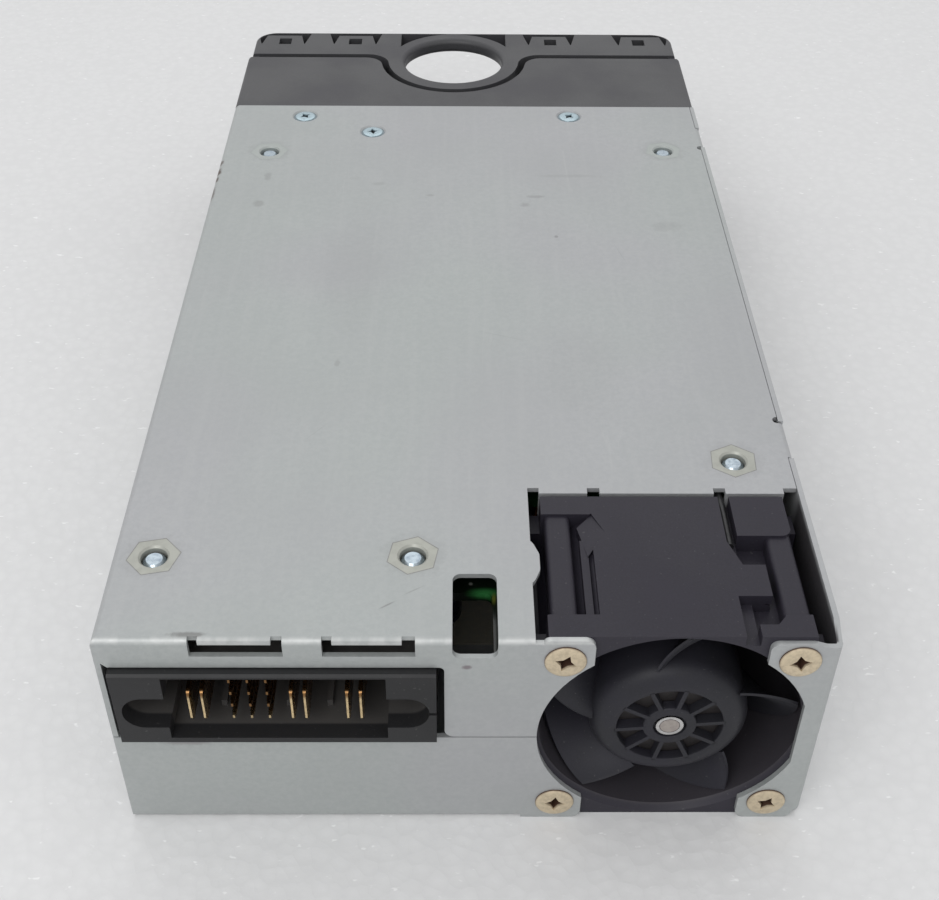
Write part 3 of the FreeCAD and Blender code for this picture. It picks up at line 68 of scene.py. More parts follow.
# --- colours, as linear light -------------------------------------------------------------------
SHEET_SHADE = (0.350, 0.362, 0.362)
SHEET_LIGHT = (0.450, 0.462, 0.456)
# painted highlight for the rear top bend
SHEET_PAINTED_HIGHLIGHT = (0.58, 0.59, 0.58)
SHEET_GREEN = (0.388, 0.418, 0.408)
SHEET_VIOLET = (0.404, 0.404, 0.424)
# painted shade inside the right wall beside the fan
PAINTED_WALL_SHADE = (0.030, 0.026, 0.030)
SMUDGE = (0.135, 0.130, 0.125)
RUST = (0.085, 0.058, 0.045)
PRIMER = (0.150, 0.110, 0.125)
BEZEL_BLACK = (0.048, 0.048, 0.051)
FAN_BLACK = (0.022, 0.020, 0.028)
# painted light: the fan's bore, lighter than its plastic to lift its shade
BORE_PAINTED_LIGHT = (0.085, 0.078, 0.078)
ROTOR_BLACK = (0.019, 0.019, 0.023)
CONNECTOR_BLACK = (0.018, 0.018, 0.019)
# painted light: the connector's socket, lighter than its plastic to lift its shade
SOCKET_PAINTED_LIGHT = (0.068, 0.065, 0.063)
GOLD = (0.80, 0.62, 0.36)
# painted shade on the contacts inside the socket
GOLD_PAINTED_SHADE = (0.22, 0.12, 0.05)
SCREW_GOLD = (0.62, 0.52, 0.37)
# painted shade in the fan screws' recess and round their heads
SCREW_PAINTED_SHADE = (0.085, 0.045, 0.030)
SCREW_BLUE = (0.46, 0.53, 0.58)
STANDOFF = (0.395, 0.400, 0.360)
SEAM = (0.26, 0.26, 0.25)
BOARD_GREEN = (0.006, 0.034, 0.010)
# painted shade on the board under the notch
BOARD_PAINTED_SHADE = (0.003, 0.006, 0.003)
BOARD_CLOUD = (0.003, 0.014, 0.005)
# painted highlights on the board under the notch: a green spot and its cut edge
BOARD_PAINTED_GLINT = (0.03, 0.17, 0.045)
BOARD_EDGE_HIGHLIGHT = (0.16, 0.18, 0.03)
COPPER = (0.50, 0.20, 0.09)
FOAM = (0.735, 0.735, 0.735)
# painted glints on the foam
FOAM_PAINTED_GLINT = (0.90, 0.90, 0.90)
DUST = (0.22, 0.22, 0.21)
FLUSH_LIGHT = (0.44, 0.55, 0.60)
FLUSH_SHADE = (0.35, 0.44, 0.48)
# painted shade in the countersunk screws' recess and round their heads
FLUSH_PAINTED_SHADE = (0.10, 0.11, 0.12)
SHAFT_LIGHT = (0.40, 0.36, 0.33)
SHAFT_SHADE = (0.34, 0.30, 0.28)
# painted shade where the shaft meets its bush
SHAFT_PAINTED_SHADE = (0.06, 0.05, 0.05)
GROUND_STEEL = (0.50, 0.48, 0.46)
ACRYLIC_LIGHT = (0.78, 0.82, 0.80)
ACRYLIC_SHADE = (0.66, 0.72, 0.70)


def at(x, y, z):
    """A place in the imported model's frame, from millimetres off the case's corner."""
    return CORNER + Vector((x, y, z)) * MM


def centre(node):
    low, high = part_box(node)
    return (Vector(low) + Vector(high)) / 2


def fan_axis():
    """The fan's axis where it meets the case's rear face."""
    middle = centre("fan_shaft")
    return Vector((middle.x, CORNER.y, middle.z))


# --- small wrappers for node trees --------------------------------------------------------------
def feed(tree, socket, value):
    """Links a socket, or sets it where the value is plain."""
    if isinstance(value, bpy.types.NodeSocket):
        tree.links.new(value, socket)
        return
    three = isinstance(value, (tuple, list, Vector)) and len(value) == 3
    if three and len(socket.default_value) == 4:
        socket.default_value = (*value, 1.0)
    else:
        socket.default_value = value


class Finish:
    """One material's tree, with a short call for each kind of node that the finishes use."""

    def __init__(self, name, **shader):
        self.material = bpy.data.materials.new(name)
        self.material.use_nodes = True
        self.tree = self.material.node_tree
        self.shader = self.tree.nodes["Principled BSDF"]
        self.place = self.node("ShaderNodeTexCoord").outputs["Object"]
        for socket, value in shader.items():
            self.set(socket.replace("_", " ").title().replace("Ior", "IOR"), value)

    def node(self, kind, **settings):
        made = self.tree.nodes.new(kind)
        for key, value in settings.items():
            setattr(made, key, value)
        return made

    def join(self, source, socket):
        self.tree.links.new(source, socket)

    def feed(self, socket, value):
        feed(self.tree, socket, value)

    def set(self, name, value):
        self.feed(self.shader.inputs[name], value)

    def mapped(self, scale=(1, 1, 1), turn=(0, 0, 0), shift=(0, 0, 0)):
        node = self.node("ShaderNodeMapping")
        self.join(self.place, node.inputs["Vector"])
        node.inputs["Scale"].default_value = scale
        node.inputs["Rotation"].default_value = [math.radians(a) for a in turn]
        node.inputs["Location"].default_value = shift
        return node.outputs["Vector"]

    def noise(self, size, detail=3.0, rough=0.55, scale=(1, 1, 1), turn=(0, 0, 0),
              shift=(0, 0, 0)):
        """Noise whose blotches are about size millimetres across."""
        node = self.node("ShaderNodeTexNoise")
        self.join(self.mapped(scale, turn, shift), node.inputs["Vector"])
        node.inputs["Scale"].default_value = 1.0 / (size * MM)
        node.inputs["Detail"].default_value = detail
        node.inputs["Roughness"].default_value = rough
        return node.outputs["Fac"]

    def ramp(self, value, low, high, start=0.0, end=1.0):
        """Value from low to high, spread over start to end and clamped there."""
        node = self.node("ShaderNodeMapRange", clamp=True, interpolation_type="SMOOTHSTEP")
        self.feed(node.inputs["Value"], value)
        limits = {"From Min": low, "From Max": high, "To Min": start, "To Max": end}
        for name, number in limits.items():
            node.inputs[name].default_value = number
        return node.outputs["Result"]

    def maths(self, operation, a, b=0.0):
        node = self.node("ShaderNodeMath", operation=operation)
        self.feed(node.inputs[0], a)
        self.feed(node.inputs[1], b)
        return node.outputs[0]

    def product(self, first, *others):
        for other in others:
            first = self.maths("MULTIPLY", first, other)
        return first

    def mix(self, share, a, b):
        """Colour a, passing into colour b as share goes from 0 to 1."""
        node = self.node("ShaderNodeMix", data_type="RGBA")
        self.feed(node.inputs["Factor"], share)
        self.feed(node.inputs[6], a)
        self.feed(node.inputs[7], b)
        return node.outputs[2]

    def bump(self, height, depth, strength=1.0, under=None):
        """Bump whose full height is depth millimetres."""
        node = self.node("ShaderNodeBump")
        node.inputs["Distance"].default_value = depth * MM
        node.inputs["Strength"].default_value = strength
        self.join(height, node.inputs["Height"])
        if under:
            self.join(under, node.inputs["Normal"])
        return node.outputs["Normal"]

    def distance(self, centre, reach, turn=0.0):
        """Distance from a place, counted in half sizes; turn is about the sheet's upright."""
        offset = self.node("ShaderNodeVectorMath", operation="SUBTRACT")
        self.join(self.place, offset.inputs[0])
        offset.inputs[1].default_value = at(*centre)
        vector = offset.outputs[0]
        if turn:
            turned = self.node("ShaderNodeVectorRotate", rotation_type="Z_AXIS")
            self.join(vector, turned.inputs["Vector"])
            turned.inputs["Angle"].default_value = -math.radians(turn)
            vector = turned.outputs[0]
        scaled = self.node("ShaderNodeVectorMath", operation="DIVIDE")
        self.join(vector, scaled.inputs[0])
        scaled.inputs[1].default_value = Vector(reach) * MM
        length = self.node("ShaderNodeVectorMath", operation="LENGTH")
        self.join(scaled.outputs[0], length.inputs[0])
        return length.outputs["Value"]

    def spot(self, centre, reach, soft=0.35, ragged=None):
        """1 inside an ellipsoid round a place, fading to 0 outside it; ragged roughens its edge."""
        distance = self.distance(centre, reach)
        if ragged:
            distance = self.maths("ADD", distance, ragged)
        return self.ramp(distance, 1.0 - soft, 1.0, 1.0, 0.0)

    def stroke(self, centre, reach, turn):
        """1 on a short straight line across the sheet, turned in its plane, fading at its edges."""
        return self.ramp(self.distance(centre, reach, turn), 0.3, 1.0, 1.0, 0.0)

    def ragged(self, grain, amount):
        """Noise about zero, shared by the edges of several spots."""
        centred = self.maths("SUBTRACT", self.noise(grain, 4.0, 0.7), 0.5)
        return self.product(centred, amount)

    def along(self, axis, low, high, start=0.0, end=1.0):
        """A ramp along one axis, between two places in millimetres off the case's corner."""
        split = self.node("ShaderNodeSeparateXYZ")
        self.join(self.place, split.inputs[0])
        base = CORNER["XYZ".index(axis)]
        return self.ramp(split.outputs[axis], base + low * MM, base + high * MM, start, end)

    def scratch(self, spacing, width, turn, length, seed):
        """Sparse straight scratches one way: a stretched noise seen through a narrow band."""
        stretched = self.noise(spacing, 1.0, 0.3, scale=(1, 1 / length, 1), turn=(0, 0, turn),
                               shift=(seed, seed, seed))
        band = self.maths("ABSOLUTE", self.maths("SUBTRACT", stretched, 0.5))
        line = self.ramp(band, 0.0, width, 1.0, 0.0)
        gaps = self.noise(14.0, 2.0, 0.5, shift=(seed, 0, 0))
        return self.product(line, self.ramp(gaps, 0.52, 0.62))


class Pattern:
    """A Geometry Nodes tree with named sizes, run once and kept as one plain piece."""

    def __init__(self, name, **sizes):
        self.name = name
        self.tree = bpy.data.node_groups.new(name, "GeometryNodeTree")
        self.tree.interface.new_socket("Geometry", in_out="OUTPUT",
                                       socket_type="NodeSocketGeometry")
        self.given = self.tree.nodes.new("NodeGroupInput")
        self.values = {}
        for label, value in sizes.items():
            kind = "NodeSocketInt" if isinstance(value, int) else "NodeSocketFloat"
            made = self.tree.interface.new_socket(label.replace("_", " "), in_out="INPUT",
                                                  socket_type=kind)
            self.values[made.identifier] = value

    def __getitem__(self, label):
        """The socket of one of the sizes."""
        return self.given.outputs[label]

    def add(self, kind, inputs=(), **settings):
        """A node's first output, its inputs set or linked by name or number."""
        made = self.tree.nodes.new(kind)
        for key, value in settings.items():
            setattr(made, key, value)
        for name, value in dict(inputs).items():
            feed(self.tree, made.inputs[name], value)
        return made.outputs[0]

    def maths(self, operation, a, b=0.0, c=0.0):
        return self.add("ShaderNodeMath", {0: a, 1: b, 2: c}, operation=operation)

    def between(self, low, high, share):
        return self.maths("MULTIPLY_ADD", share, self.maths("SUBTRACT", high, low), low)

    def vector(self, x=0.0, y=0.0, z=0.0):
        return self.add("ShaderNodeCombineXYZ", {0: x, 1: y, 2: z})

    def parts_of(self, vector):
        """The X, Y and Z sockets of a vector."""
        made = self.tree.nodes.new("ShaderNodeSeparateXYZ")
        self.tree.links.new(vector, made.inputs[0])
        return made.outputs

    def index(self):
        return self.add("GeometryNodeInputIndex")

    def listed(self, vectors):
        """One of a list of vectors for each point, by the point's number."""
        made = self.tree.nodes.new("GeometryNodeIndexSwitch")
        made.data_type = "VECTOR"
        while len(made.index_switch_items) < len(vectors):
            made.index_switch_items.new()
        self.tree.links.new(self.index(), made.inputs["Index"])
        for number, value in enumerate(vectors):
            feed(self.tree, made.inputs[number + 1], value)
        return made.outputs[0]

    def points(self, count):
        return self.add("GeometryNodeMeshLine", {"Count": count, "Offset": (0, 0, 0)})

    def outline(self, corners, rounding):
        """A closed curve through corners in its XY plane, with a rounding for each."""
        line = self.add("GeometryNodeSetPosition", {
            "Geometry": self.points(len(corners)), "Position": self.listed(corners)})
        curve = self.add("GeometryNodeMeshToCurve", {"Mesh": line})
        curve = self.add("GeometryNodeSetSplineCyclic", {"Geometry": curve, "Cyclic": True})
        radius = self.parts_of(self.listed([self.vector(r) for r in rounding]))["X"]
        return self.add("GeometryNodeFilletCurve", {
            "Curve": curve, "Radius": radius, "Count": 6, "Limit Radius": True}, mode="POLY")

    def turned(self, stations, profile):
        """A bar along +Y whose section is the profile, scaled by a number at each station."""
        line = self.add("GeometryNodeSetPosition", {
            "Geometry": self.points(len(stations)),
            "Position": self.listed([self.vector(0.0, y) for y, scale in stations])})
        curve = self.add("GeometryNodeMeshToCurve", {"Mesh": line})
        sizes = self.parts_of(self.listed([self.vector(scale) for y, scale in stations]))["X"]
        return self.add("GeometryNodeCurveToMesh", {
            "Curve": curve, "Profile Curve": profile, "Scale": sizes, "Fill Caps": True})

    def revolved(self, profile, steps=96):
        """A ring about the fan's axis: the profile's X is the radius, its Y runs along the axis."""
        path = self.add("GeometryNodeCurvePrimitiveCircle", {"Resolution": steps, "Radius": 1e-5})
        ring = self.add("GeometryNodeCurveToMesh", {"Curve": path, "Profile Curve": profile})
        return self.moved(ring, turn=(math.radians(90), 0, 0))

    def moved(self, geometry, place=(0, 0, 0), turn=(0, 0, 0)):
        return self.add("GeometryNodeTransform", {
            "Geometry": geometry, "Translation": place, "Rotation": turn})

    def copies(self, geometry, points, turn):
        return self.add("GeometryNodeInstanceOnPoints", {
            "Points": points, "Instance": geometry, "Rotation": turn})

    def piece(self, finish, body, slot, parts, *replaced, place=(0, 0, 0), crease=40.0,
              flexes=None):
        """Runs the tree once and keeps the result as a plain mesh; it hands the piece to its body
        unless flexes is given.

        flexes is a second body and two places; when it is given the piece stays in the world frame,
        goes to no body and does not bend.
        """
        made = self.tree.nodes.new("GeometryNodeJoinGeometry")
        for part in reversed(parts):
            self.tree.links.new(part, made.inputs[0])
        whole = self.moved(made.outputs[0], place)
        whole = self.add("GeometryNodeRealizeInstances", {"Geometry": whole})
        whole = self.add("GeometryNodeSetMaterial", {
            "Geometry": whole, "Material": finish.material})
        self.tree.links.new(whole, self.tree.nodes.new("NodeGroupOutput").inputs[0])
        holder = bpy.data.objects.new(self.name, bpy.data.meshes.new(self.name))
        bpy.context.scene.collection.objects.link(holder)
        shape = holder.modifiers.new("shape", "NODES")
        shape.node_group = self.tree
        for identifier, value in self.values.items():
            shape[identifier] = value
        graph = bpy.context.evaluated_depsgraph_get()
        mesh = bpy.data.meshes.new_from_object(holder.evaluated_get(graph))
        holder.modifiers.remove(shape)
        holder.data = mesh
        mesh.polygons.foreach_set("use_smooth", [True] * len(mesh.polygons))
        mesh.set_sharp_from_angle(angle=math.radians(crease))
        if flexes:
            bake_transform(holder)
        else:
            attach(holder, body)
        if replaced:
            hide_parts(*replaced)
        return holder


def paint(finish, *names):
    """Gives a finish to CAD nodes."""
    for name in names:
        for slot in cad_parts[name].material_slots:
            slot.material = finish.material


# --- finishes -----------------------------------------------------------------------------------
def zinc_sheet():
    """Zinc coated sheet: mottling, rolling streaks, clouds, light scratches and a few marks.

    Also a painted highlight on the rear top bend, and painted shade inside the right wall by the
    fan.
    """
    f = Finish("zinc_sheet")
    mottle = f.noise(0.9, 3.0, 0.65)
    clouds = f.noise(26.0, 3.0, 0.5)
    streaks = f.noise(1.6, 2.0, 0.5, scale=(1, 0.04, 1))
    colour = f.mix(f.ramp(mottle, 0.30, 0.72), SHEET_SHADE, SHEET_LIGHT)
    tint = f.mix(f.ramp(f.noise(60.0, 2.0, 0.5), 0.36, 0.64), SHEET_GREEN, SHEET_VIOLET)
    colour = f.mix(0.55, colour, tint)
    colour = f.mix(f.ramp(clouds, 0.30, 0.75, 0.0, 0.35), colour, SHEET_SHADE)
    colour = f.mix(f.ramp(streaks, 0.45, 0.75, 0.0, 0.18), colour, SHEET_LIGHT)
    for spacing, turn, seed in ((3.0, 12.0, 0.3), (4.5, 68.0, 0.7)):
        lines = f.scratch(spacing, 0.004, turn, 24.0, seed)
        colour = f.mix(f.product(lines, 0.30), colour, SHEET_LIGHT)
    edge = f.ragged(1.4, 1.2)
    for place, reach, shade, dark in MARKS:
        colour = f.mix(f.product(f.spot(place, reach, 0.6, edge), dark), colour, shade)
    for x, y, turn in STANDOFFS:
        around = f.spot((x, y, HEIGHT), (5.4, 5.0, 1.0), 0.35, edge)
        under = f.spot((x, y, HEIGHT), (3.5, 3.5, 1.0), 0.15)
        stain = f.maths("MAXIMUM", f.maths("SUBTRACT", around, under), 0.0)
        colour = f.mix(f.product(stain, 0.10), colour, SMUDGE)
    for place, reach, turn, dark in STROKES:
        colour = f.mix(f.product(f.stroke(place, reach, turn), dark), colour, SMUDGE)
    # Painted highlight along the rear top bend, broken up by the streaks.
    bend = f.product(f.along("Y", 0.3, 1.1, 1.0, 0.0), f.along("Z", HEIGHT - 0.9, HEIGHT - 0.4))
    wear_and_highlight = f.ramp(streaks, 0.3, 0.6, 0.25, 0.75)
    colour = f.mix(f.product(bend, wear_and_highlight), colour, SHEET_PAINTED_HIGHLIGHT)
    # Painted shade: inside the right wall beside the fan the sheet is darkened nearly to black and
    # loses its metallic sheen.
    across = f.product(f.along("X", WIDTH - 2.2, WIDTH - 1.6),
                       f.along("X", WIDTH - 0.7, WIDTH - 0.35, 1.0, 0.0))
    beside = f.product(f.along("Y", 0.9, 1.3), f.along("Y", 28.0, 31.0, 1.0, 0.0))
    inner = f.product(across, beside, f.along("Z", HEIGHT - 1.2, HEIGHT - 0.2, 1.0, 0.0))
    colour = f.mix(f.product(inner, 0.93), colour, PAINTED_WALL_SHADE)
    f.set("Base Color", colour)
    f.set("Metallic", f.product(f.maths("SUBTRACT", 1.0, inner), 0.35))
    f.set("Roughness", f.ramp(mottle, 0.2, 0.8, 0.42, 0.56))
    relief = f.bump(f.noise(0.45, 3.0, 0.6), 0.012, 0.6)
    f.set("Normal", f.bump(f.noise(9.0, 2.0, 0.5), 0.05, 0.35, relief))
    return f


# Faint marks on the sheet: place, half sizes, shade, strength.
MARKS = (
    ((10.6, 125.5, 40.0), (0.9, 2.4, 1.0), SMUDGE, 0.24),
    ((9.8, 114.5, 40.0), (1.6, 1.6, 1.0), SMUDGE, 0.26),
    ((64.8, 117.6, 40.0), (2.4, 0.8, 1.0), SMUDGE, 0.26),
    ((62.6, 114.4, 40.0), (1.3, 1.0, 1.0), SMUDGE, 0.24),
    ((43.8, 118.0, 40.0), (1.1, 0.6, 1.0), SMUDGE, 0.24),
    ((33.2, 122.5, 40.0), (2.0, 0.8, 1.0), SMUDGE, 0.15),
    ((72.0, 126.0, 40.0), (8.5, 0.8, 1.0), SMUDGE, 0.12),
    ((89.5, 106.5, 40.0), (3.8, 2.4, 1.0), SMUDGE, 0.12),
    ((68.1, 102.5, 40.0), (0.5, 0.6, 1.0), SMUDGE, 0.45),
    ((28.4, 124.8, 40.0), (1.6, 0.7, 1.0), SMUDGE, 0.08),
    ((13.0, 1.2, 40.0), (3.2, 0.7, 0.9), SMUDGE, 0.60),
    ((29.0, 62.0, 40.0), (0.6, 1.4, 1.0), SMUDGE, 0.22),
    ((70.0, 60.0, 40.0), (9.0, 16.0, 1.0), SMUDGE, 0.05),
    ((30.0, 90.0, 40.0), (8.0, 22.0, 1.0), SMUDGE, 0.05),
    ((10.5, 0.0, 18.4), (4.5, 0.8, 1.0), PRIMER, 0.35),
    ((50.6, 0.0, 34.7), (0.9, 0.6, 0.6), PRIMER, 0.70),
    ((0.4, 131.0, 39.6), (0.7, 1.4, 1.0), RUST, 0.80),
    ((0.3, 127.2, 39.5), (0.9, 1.8, 1.2), RUST, 0.90),
    ((0.3, 124.2, 39.5), (0.7, 1.4, 1.2), RUST, 0.90),
    ((0.3, 118.5, 39.5), (0.6, 3.4, 1.2), RUST, 0.60),
)
# Thin scratches: place, half sizes, turn, strength.
STROKES = (
    ((39.6, 6.6, 40.0), (1.7, 0.22, 0.6), 34.0, 0.45),
    ((43.2, 9.4, 40.0), (2.1, 0.18, 0.6), 32.0, 0.28),
    ((57.0, 70.0, 40.0), (6.0, 0.12, 0.6), 161.0, 0.14),
    ((27.0, 44.0, 40.0), (4.0, 0.12, 0.6), 52.0, 0.14),
    ((80.0, 96.0, 40.0), (5.0, 0.12, 0.6), 105.0, 0.14),
    ((74.0, 0.0, 40.0), (2.0, 0.12, 0.6), 90.0, 0.10),
)
# Where the board's standoffs are clinched into the sheet: X, Y and the turn of the hexagon.
STANDOFFS = ((6.0, 16.0, 12.0), (42.9, 16.3, 20.0), (92.0, 37.1, 26.0), (9.8, 136.0, 8.0),
             (92.5, 136.9, 17.0))


def shaded(colour, share):
    """A darker shade of a colour, or a lighter one where share is over 1."""
    return tuple(c * share for c in colour)


def moulded(name, colour, sheen, rough, grain, relief, tint=None, inside=None):
    """Black moulded plastic with a spark eroded texture and slow changes of sheen.

    inside is a place, a reach and a colour for a stretch of painted light: a lighter colour
    where the plastic lies in shade.
    """
    f = Finish(name, specular_ior_level=sheen)
    fine = f.noise(grain, 2.0, 0.6)
    slow = f.noise(16.0, 3.0, 0.5)
    pale = shaded(colour, 1.22)
    tone = f.mix(f.ramp(fine, 0.25, 0.75), colour, pale)
    tone = f.mix(f.ramp(slow, 0.45, 0.70, 0.0, 0.5), tone, tint or shaded(colour, 0.86))
    # Painted light: the stretch inside gets a lighter colour where the plastic lies in shade.
    if inside:
        place, reach, shade = inside
        tone = f.mix(f.spot(place, reach, 0.06), tone, shade)
    specks = f.ramp(f.noise(0.5, 2.0, 0.5, shift=(0.5, 0, 0)), 0.68, 0.76)
    f.set("Base Color", f.mix(f.product(specks, 0.16), tone, DUST))
    f.set("Roughness", f.ramp(slow, 0.3, 0.7, rough - 0.05, rough + 0.07))
    f.set("Normal", f.bump(fine, relief, 0.7))
    return f


def metal_coat(name, metallic, size, light, shade, rough, grain, relief=0.006, spread=(0.38, 0.74),
               strength=0.6):
    """Metal in patches of two tones, rough between two limits; gives its finish and its colour."""
    f = Finish(name, metallic=metallic)
    patches = f.noise(size, 3.0, 0.6)
    f.set("Roughness", f.ramp(patches, 0.3, 0.7, *rough))
    f.set("Normal", f.bump(f.noise(grain, 2.0, 0.5), relief, strength))
    return f, f.mix(f.ramp(patches, *spread), light, shade)


def plated(name, colour, rough, metallic=1.0, tarnish=None, size=1.2):
    """Plated metal with small changes of colour and sheen."""
    f, tone = metal_coat(name, metallic, size, colour, tarnish or shaded(colour, 0.72),
                         (rough - 0.05, rough + 0.10), size * 0.3)
    f.set("Base Color", tone)
    return f


def contact_gold(name, dim):
    """Gold plated contacts, bright at their tips.

    Painted shade turns them brown further in and above the height dim.
    """
    f, wear_and_highlight = metal_coat(name, 1.0, 0.9, GOLD, shaded(GOLD, 0.7), (0.22, 0.34), 0.3, 0.004)
    # Painted shade, deeper into the socket and above the height dim.
    shade = f.maths("MAXIMUM", f.along("Y", 0.6, 2.6), f.along("Z", dim, dim + 1.2))
    f.set("Base Color", f.mix(shade, wear_and_highlight, GOLD_PAINTED_SHADE))
    return f


def flush_zinc():
    """Bright bluish zinc on the countersunk screws.

    Painted shade darkens the recess and the gap round the head.
    """
    f, tone = metal_coat("screw_flush_zinc", 0.6, 0.9, FLUSH_LIGHT, FLUSH_SHADE, (0.24, 0.36), 0.3)
    # Painted shade in the recess and the gap round the head, on the screws in the top.
    inward = f.product(f.along("Z", HEIGHT - 0.42, HEIGHT - 0.10, 1.0, 0.0),
                       f.along("X", 1.5, 2.5))
    f.set("Base Color", f.mix(inward, tone, FLUSH_PAINTED_SHADE))
    return f


def clinched_zinc(name, shade):
    """Dull zinc that stands out from the sheet near the rear and fades into its grey further on."""
    f, near = metal_coat(name, 0.4, 1.5, shade, shaded(shade, 0.93), (0.40, 0.52), 0.45)
    f.set("Base Color", f.mix(f.along("Y", 30.0, 150.0, 0.0, 0.85), near, SHEET_GREEN))
    return f


def shaft_end():
    """Turned steel with a dull end face and painted shade where it meets its bush."""
    f, tone = metal_coat("turned_steel", 0.6, 0.7, SHAFT_LIGHT, SHAFT_SHADE, (0.34, 0.46), 0.2,
                         0.004, strength=0.5)
    where = (fan_axis() - CORNER) / MM
    core = f.spot((where.x, 0.0, where.z), (1.46, FAR, 1.46), 0.08)
    f.set("Base Color", f.mix(core, SHAFT_PAINTED_SHADE, tone))
    return f


def yellow_zinc():
    """Pale yellow zinc on the fan's screws.

    Painted shade darkens the star recess and below the head's edge.
    """
    f, tone = metal_coat("screw_yellow_zinc", 0.45, 0.8, SCREW_GOLD, shaded(SCREW_GOLD, 0.80),
                         (0.36, 0.48), 0.25, 0.008, (0.36, 0.72))
    head = (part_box("fan_screws")[0][1] - CORNER.y) / MM
    # Painted shade below the head's face: in the star recess and round the head's edge.
    f.set("Base Color", f.mix(f.along("Y", head + 0.13, head + 0.40), tone, SCREW_PAINTED_SHADE))
    return f


# Painted shade and painted highlights on what shows through the notch beside the connector:
# place, half sizes, softness and shade.
BOARD_PAINTED_LIGHT = (
    ((51.5, 8.0, 35.0), (6.0, 12.0, 3.0), 0.2, BOARD_PAINTED_SHADE),
    ((53.2, 13.1, 35.3), (3.2, 1.3, 1.3), 0.9, BOARD_PAINTED_GLINT),
    ((54.5, 12.0, 35.0), (0.5, 1.7, 1.4), 0.9, BOARD_EDGE_HIGHLIGHT),
    ((51.2, 14.9, 35.6), (0.4, 0.4, 0.6), 0.6, (0.16, 0.16, 0.15)),
)


def solder_mask():
    """Green board with the faint relief of its tracks under the mask.

    Painted shade and painted highlights where it shows through the notch.
    """
    f = Finish("solder_mask", roughness=0.28, coat_weight=0.35)
    lanes = f.noise(2.2, 1.0, 0.2, scale=(1, 0.22, 1))
    tracks = f.ramp(f.maths("ABSOLUTE", f.maths("SUBTRACT", lanes, 0.5)), 0.02, 0.035)
    colour = f.mix(tracks, shaded(BOARD_GREEN, 1.9), BOARD_GREEN)
    colour = f.mix(f.ramp(f.noise(9.0, 3.0), 0.4, 0.7, 0.0, 0.6), colour, BOARD_CLOUD)
    # Painted shade and painted highlights under the notch.
    for place, reach, soft, shade in BOARD_PAINTED_LIGHT:
        colour = f.mix(f.spot(place, reach, soft), colour, shade)
    f.set("Base Color", colour)
    f.set("Normal", f.bump(tracks, 0.03, 0.5))
    return f


def plain_finish(name, colour, rough=0.5, metallic=0.0, grain=1.0, change=0.25, **more):
    """A simple finish with its own fine variation, for pieces inside the case."""
    f = Finish(name, metallic=metallic, **more)
    fine = f.noise(grain, 3.0, 0.6)
    f.set("Base Color", f.mix(f.ramp(fine, 0.3, 0.7), colour, shaded(colour, 1 - change)))
    f.set("Roughness", f.ramp(fine, 0.3, 0.7, rough - 0.04, rough + 0.08))
    f.set("Normal", f.bump(fine, 0.01, 0.5))
    return f


def clear_acrylic():
    """Clear light pipe, slightly milky."""
    f = Finish("clear_acrylic", roughness=0.18, transmission_weight=0.75, ior=1.49)
    f.set("Base Color", f.mix(f.ramp(f.noise(1.5), 0.3, 0.7), ACRYLIC_LIGHT, ACRYLIC_SHADE))
    return f


# Finishes of the pieces inside the case: name, colour, roughness, metallic, grain, nodes.
INSIDE = (
    ("ferrite", (0.030, 0.030, 0.032), 0.55, 0.0, 1.0, ("fan_magnet", "transformer_core")),
    ("laminations", (0.28, 0.28, 0.29), 0.40, 0.8, 0.3, ("fan_stator_core",)),
    ("coil_enamel", COPPER, 0.34, 0.9, 0.4, ("fan_coils",)),
    ("black_sleeve", (0.018, 0.018, 0.019), 0.35, 0.0, 1.0, ("fan_lead",)),
    ("blue_sleeve", (0.05, 0.11, 0.38), 0.35, 0.0, 1.0, ("inlet_wires",)),
    ("natural_nylon", (0.66, 0.62, 0.50), 0.42, 0.0, 1.0, ("fan_header",)),
    ("polyester_film", (0.48, 0.46, 0.38), 0.25, 0.0, 1.0, ("insulator_sheet",)),
    ("capacitor_sleeve", (0.020, 0.026, 0.050), 0.28, 0.0, 1.0,
     ("bulk_capacitors", "output_capacitors")),
    ("capacitor_box", (0.46, 0.33, 0.06), 0.34, 0.0, 1.0, ("film_capacitors",)),
    ("winding_tape", (0.55, 0.42, 0.06), 0.30, 0.0, 1.0, ("transformer_winding",)),
    ("toroid_coat", (0.03, 0.13, 0.09), 0.45, 0.0, 1.0, ("choke_core", "emi_choke_core")),
    ("heatsink", (0.52, 0.52, 0.53), 0.38, 0.9, 0.6, ("primary_heatsink", "secondary_heatsink")),
    ("package_epoxy", (0.016, 0.016, 0.017), 0.50, 0.0, 1.0,
     ("power_transistors", "bridge_rectifier")),
    ("fuse_ceramic", (0.66, 0.63, 0.57), 0.30, 0.0, 1.0, ("fuse",)),
    ("relay_box", (0.02, 0.04, 0.14), 0.32, 0.0, 1.0, ("relay",)),
)


